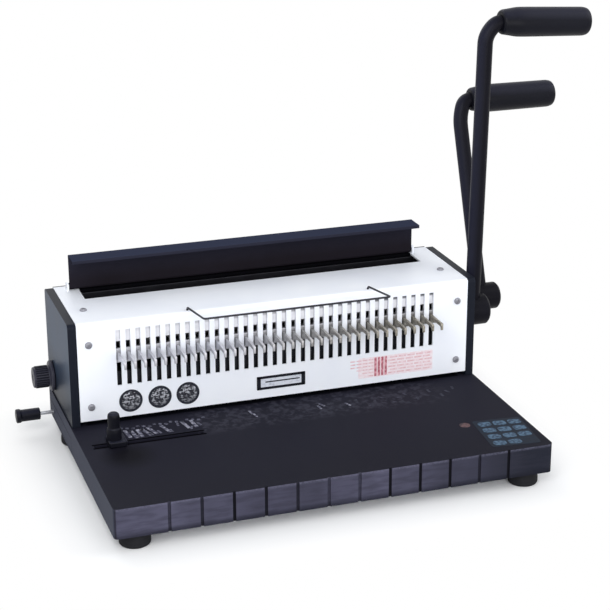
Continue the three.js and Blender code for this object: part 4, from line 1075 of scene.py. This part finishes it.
TABLE_TURN = (0, 0, -0.09)
table_ink = print_ink("table_ground_ink", (27, 36, 49), (22, 26, 36), 0.46)
printed("setting_table", chip(42, 53, 0.1, 2.5), table_ink, [at(156.2, -123.5, DECK)], TABLE_TURN)
cell_ink = print_ink("table_cell_ink", (84, 108, 130), (46, 60, 78), 0.5)
cells = []
for column in range(3):
    for rank in range(4):
        if (column, rank) != (2, 0):
            x, y = 142 + 13 * column + 1.2 * rank, -142 + 12.6 * rank - 1.2 * column
            cells.append(at(x, y, DECK + 0.08))
printed("table_cells", chip(11, 8.4, 0.1, 2.6), cell_ink, cells, TABLE_TURN, 0.08)
spot_ink = print_ink("brown_spot_ink", (98, 76, 78), (44, 38, 46), 0.44)
spot = turned("brown_spot", [(0, 0), (4.6, 0), (4.4, 0.16), (0, 0.2)], at(129.4, -100.4, DECK), bend=0.05)
enter("brown_spot", spot, "frame", "white_paint", finish=spot_ink)

# %% [markdown]
# Three round badges sit at the left of the cover. Each is a dark ring round a disc with a plain
# woven texture. A framed window and a block of pale red dashes fill the rest of the row.

# %% Marks on the cover
COVER = -0.02
MIDDLE_Z = 56
badge_dark = print_ink("badge_ring", (44, 46, 54), (30, 31, 38), 0.4)
badges = [at(x, COVER, MIDDLE_Z) for x in (-131, -106, -81.7)]
ring = turned("badge_ring", [
    (7.9, 0), (9.9, 0), (10.1, 0.3), (9.6, 0.75), (8.4, 0.75), (7.9, 0.35), (7.9, 0),
], ORIGIN, bend=0.2)
printed("badge_rings", ring, badge_dark, badges, UPRIGHT, slot_name="black_plastic")
weave = Finish("badge_weave", (120, 122, 134), 0.45, gloss=0.3)
knots = weave.noise(1.9, 2.0, (1, 1, 0.7))
threads = weave.noise(1.2, 1.0, (0.25, 1, 1.6))
upper_part = 0.3 + weave.along(2).above(57 * MM, 14 * MM) * 0.7
lit_threads = (knots * 0.5 + threads * 0.5).above(0.53, 0.08) * upper_part
woven = weave.mix(lit_threads, (32, 33, 42), (205, 207, 216))
weave.coat(woven, 0.4 + knots * 0.2, threads, depth=0.08, strength=0.6)
disc = turned("badge_disc", [(0, 0), (8.1, 0), (8.1, 0.3), (7.4, 0.42), (0, 0.5)], ORIGIN, bend=0.2)
printed("badge_discs", disc, weave, badges, UPRIGHT, 1.0, "black_plastic")

frame_ink = print_ink("window_frame_black", (30, 31, 38), (22, 22, 28), 0.4)
pane_ink = print_ink("window_pane", (206, 210, 220), (160, 164, 178), 0.35)
ground_ink = print_ink("pale_red_ground", (236, 228, 233), (231, 212, 218), 0.5)
red_ink = print_ink("pale_red_ink", (218, 180, 187), (232, 213, 219), 0.45)
box_ink = print_ink("red_box_ink", (168, 92, 106), (216, 158, 168), 0.47)
pane_x = 1.1
boxes = [(88 + 3.2 * i, 57.4) for i in range(4)]
right_dashes, left_dashes = [], []
for column in range(5):
    for rank in range(6):
        right_dashes.append((103.4 + 8.2 * column + (rank % 2) * 1.6, 50.2 + 2.9 * rank))
        if column < 4 and column + rank > 2:
            left_dashes.append((67 + 5.6 * column, 49.6 + 3.0 * rank))
cover_marks = {
    "window_bars_0": (chip(43.6, 2.2, 0.5), frame_ink, [(pane_x, 61), (pane_x, 51)], "black_plastic"),
    "window_bars_1": (chip(3.4, 12, 0.5), frame_ink, [(-19, MIDDLE_Z), (21.2, MIDDLE_Z)], "black_plastic"),
    "window_pane": (chip(38.8, 8.2, 0.15, 0.6), pane_ink, [(pane_x, MIDDLE_Z)], "white_paint"),
    "window_scale": (chip(31, 1.1, 0.3, 0.4), frame_ink, [(2.4, 56.6)], "black_plastic"),
    "red_ground": (chip(70, 19, 0.04, 1.0), ground_ink, [(107, 57.4)], "white_paint"),
    "red_dashes": (chip(7.0, 1.5, 0.1), red_ink, right_dashes, "white_paint"),
    "red_dashes_left": (chip(4.8, 1.2, 0.1), red_ink, left_dashes, "white_paint"),
    "red_box": (chip(2.3, 17.5, 0.12, 0.6), box_ink, boxes, "white_paint"),
}
for name, (shape, ink, places, slot_name) in cover_marks.items():
    printed(name, shape, ink, [at(x, COVER, z) for x, z in places], UPRIGHT, slot_name=slot_name)

# %% [markdown]
# A black trim strip lies along the rear edge of the closing channel's mouth, where the cover's cut
# edge would scratch the wire. It is a flat bar with well rounded edges.

# %% Trim of the mouth
back, lip, front = 84.15, 84.6, 91.5
foot_z, seat_z, top_z = 126.8, 128.74, 128.93
trim_outline = [
    (back, foot_z), (lip, foot_z), (lip, seat_z), (front, seat_z), (front, top_z), (back, top_z),
]
trim_work = prism(*[[at(x, y, z) for y, z in trim_outline] for x in (-153.8, 153.8)])
trim = settled(trim_work, "mouth_trim")
bevelled(enter("mouth_trim", trim, "frame", "foot_rubber", finish=felt), 0.06)
print("mouth trim", len(trim.polygons), "faces")

# %% [markdown]
# The room is a pale studio: a soft world light, one strong lamp in front on the left, and three
# weaker ones. The floor is white and keeps the machine's shadow. A few centimetres beside the base
# it passes into a plain white glow that only the camera, reflections and rays through glass see,
# so the picture's ground is white and no light is added to the machine.

# %% Light and floor
world = bpy.data.worlds.new("studio")
bpy.context.scene.world = world
world.use_nodes = True
sky = Nodes(world.node_tree)
sky.tree.nodes.clear()


def seen_directly(nodes):
    """1 for rays from the camera, and for reflections and rays through glass."""
    ray = nodes.node("ShaderNodeLightPath", out="Is Camera Ray")
    shiny = Value(nodes, ray.socket.node.outputs["Is Glossy Ray"])
    through = Value(nodes, ray.socket.node.outputs["Is Transmission Ray"])
    return ray.sum("ADD", ray + shiny, through, clamp=True)


dim = sky.node("ShaderNodeBackground", inputs={"Color": (0.93, 0.96, 1.0, 1.0), "Strength": 0.6})
bright = sky.node("ShaderNodeBackground", inputs={"Color": (1.0, 1.0, 1.0, 1.0), "Strength": 1.0})
both = sky.node("ShaderNodeMixShader", inputs={0: seen_directly(sky), 1: dim, 2: bright})
sky.node("ShaderNodeOutputWorld", inputs={"Surface": both})

centre = at(0, 0, 80)
lamps = {
    "front_lamp": (at(-700, -1200, 1000), 1.1, 13.2),
    "low_lamp": (at(250, -1500, 330), 1.0, 7.5),
    "right_lamp": (at(1100, -300, 900), 1.0, 5),
    "back_lamp": (at(-200, 1000, 1100), 1.2, 5),
}
for name, (place, size, power) in lamps.items():
    bulb = bpy.data.lights.new(name, "AREA")
    bulb.shape = "DISK"
    bulb.size = size
    bulb.energy = power
    lamp = linked(name, bulb)
    lamp.location = place
    lamp.rotation_euler = (centre - place).to_track_quat("-Z", "Y").to_euler()

floor_finish = Finish("studio_floor", (0.96, 0.96, 0.96, 1.0), 0.9, gloss=0.0)
paper = floor_finish.noise(400.0, 2.0)
floor_finish.feed("Base Color", floor_finish.mix(paper, (0.955, 0.955, 0.955, 1), (0.965, 0.965, 0.965, 1)))
tray_middle = (tray_low + tray_high) / 2
tray_half = (tray_high - tray_low) / 2
outward = floor_finish.vector("SUBTRACT", floor_finish.place, (tray_middle.x, tray_middle.y, 0))
outward_size = floor_finish.vector("ABSOLUTE", outward)
beside = floor_finish.vector("SUBTRACT", outward_size, (tray_half.x, tray_half.y, 0))
clearance = floor_finish.vector("LENGTH", floor_finish.vector("MAXIMUM", beside, (0, 0, 0)), out="Value")
far = clearance.above(0.03, 0.052)
glow = floor_finish.node("ShaderNodeEmission", inputs={"Color": (1.0, 1.0, 1.0, 1.0), "Strength": 1.0})
near = Value(floor_finish, floor_finish.shader.outputs[0])
share_of_glow = far * seen_directly(floor_finish)
blended = floor_finish.node("ShaderNodeMixShader", inputs={0: share_of_glow, 1: near, 2: glow})
last = next(node for node in floor_finish.tree.nodes if node.type == "OUTPUT_MATERIAL")
floor_finish.tree.links.new(blended.socket, last.inputs["Surface"])
floor_mesh = bpy.data.meshes.new("studio_floor")
floor_mesh.from_pydata([(-6, -6, 0), (6, -6, 0), (6, 8, 0), (-6, 8, 0)], [], [(0, 1, 2, 3)])
floor_mesh.materials.append(floor_finish.material)
floor = linked("studio_floor", floor_mesh)
print("studio ready")
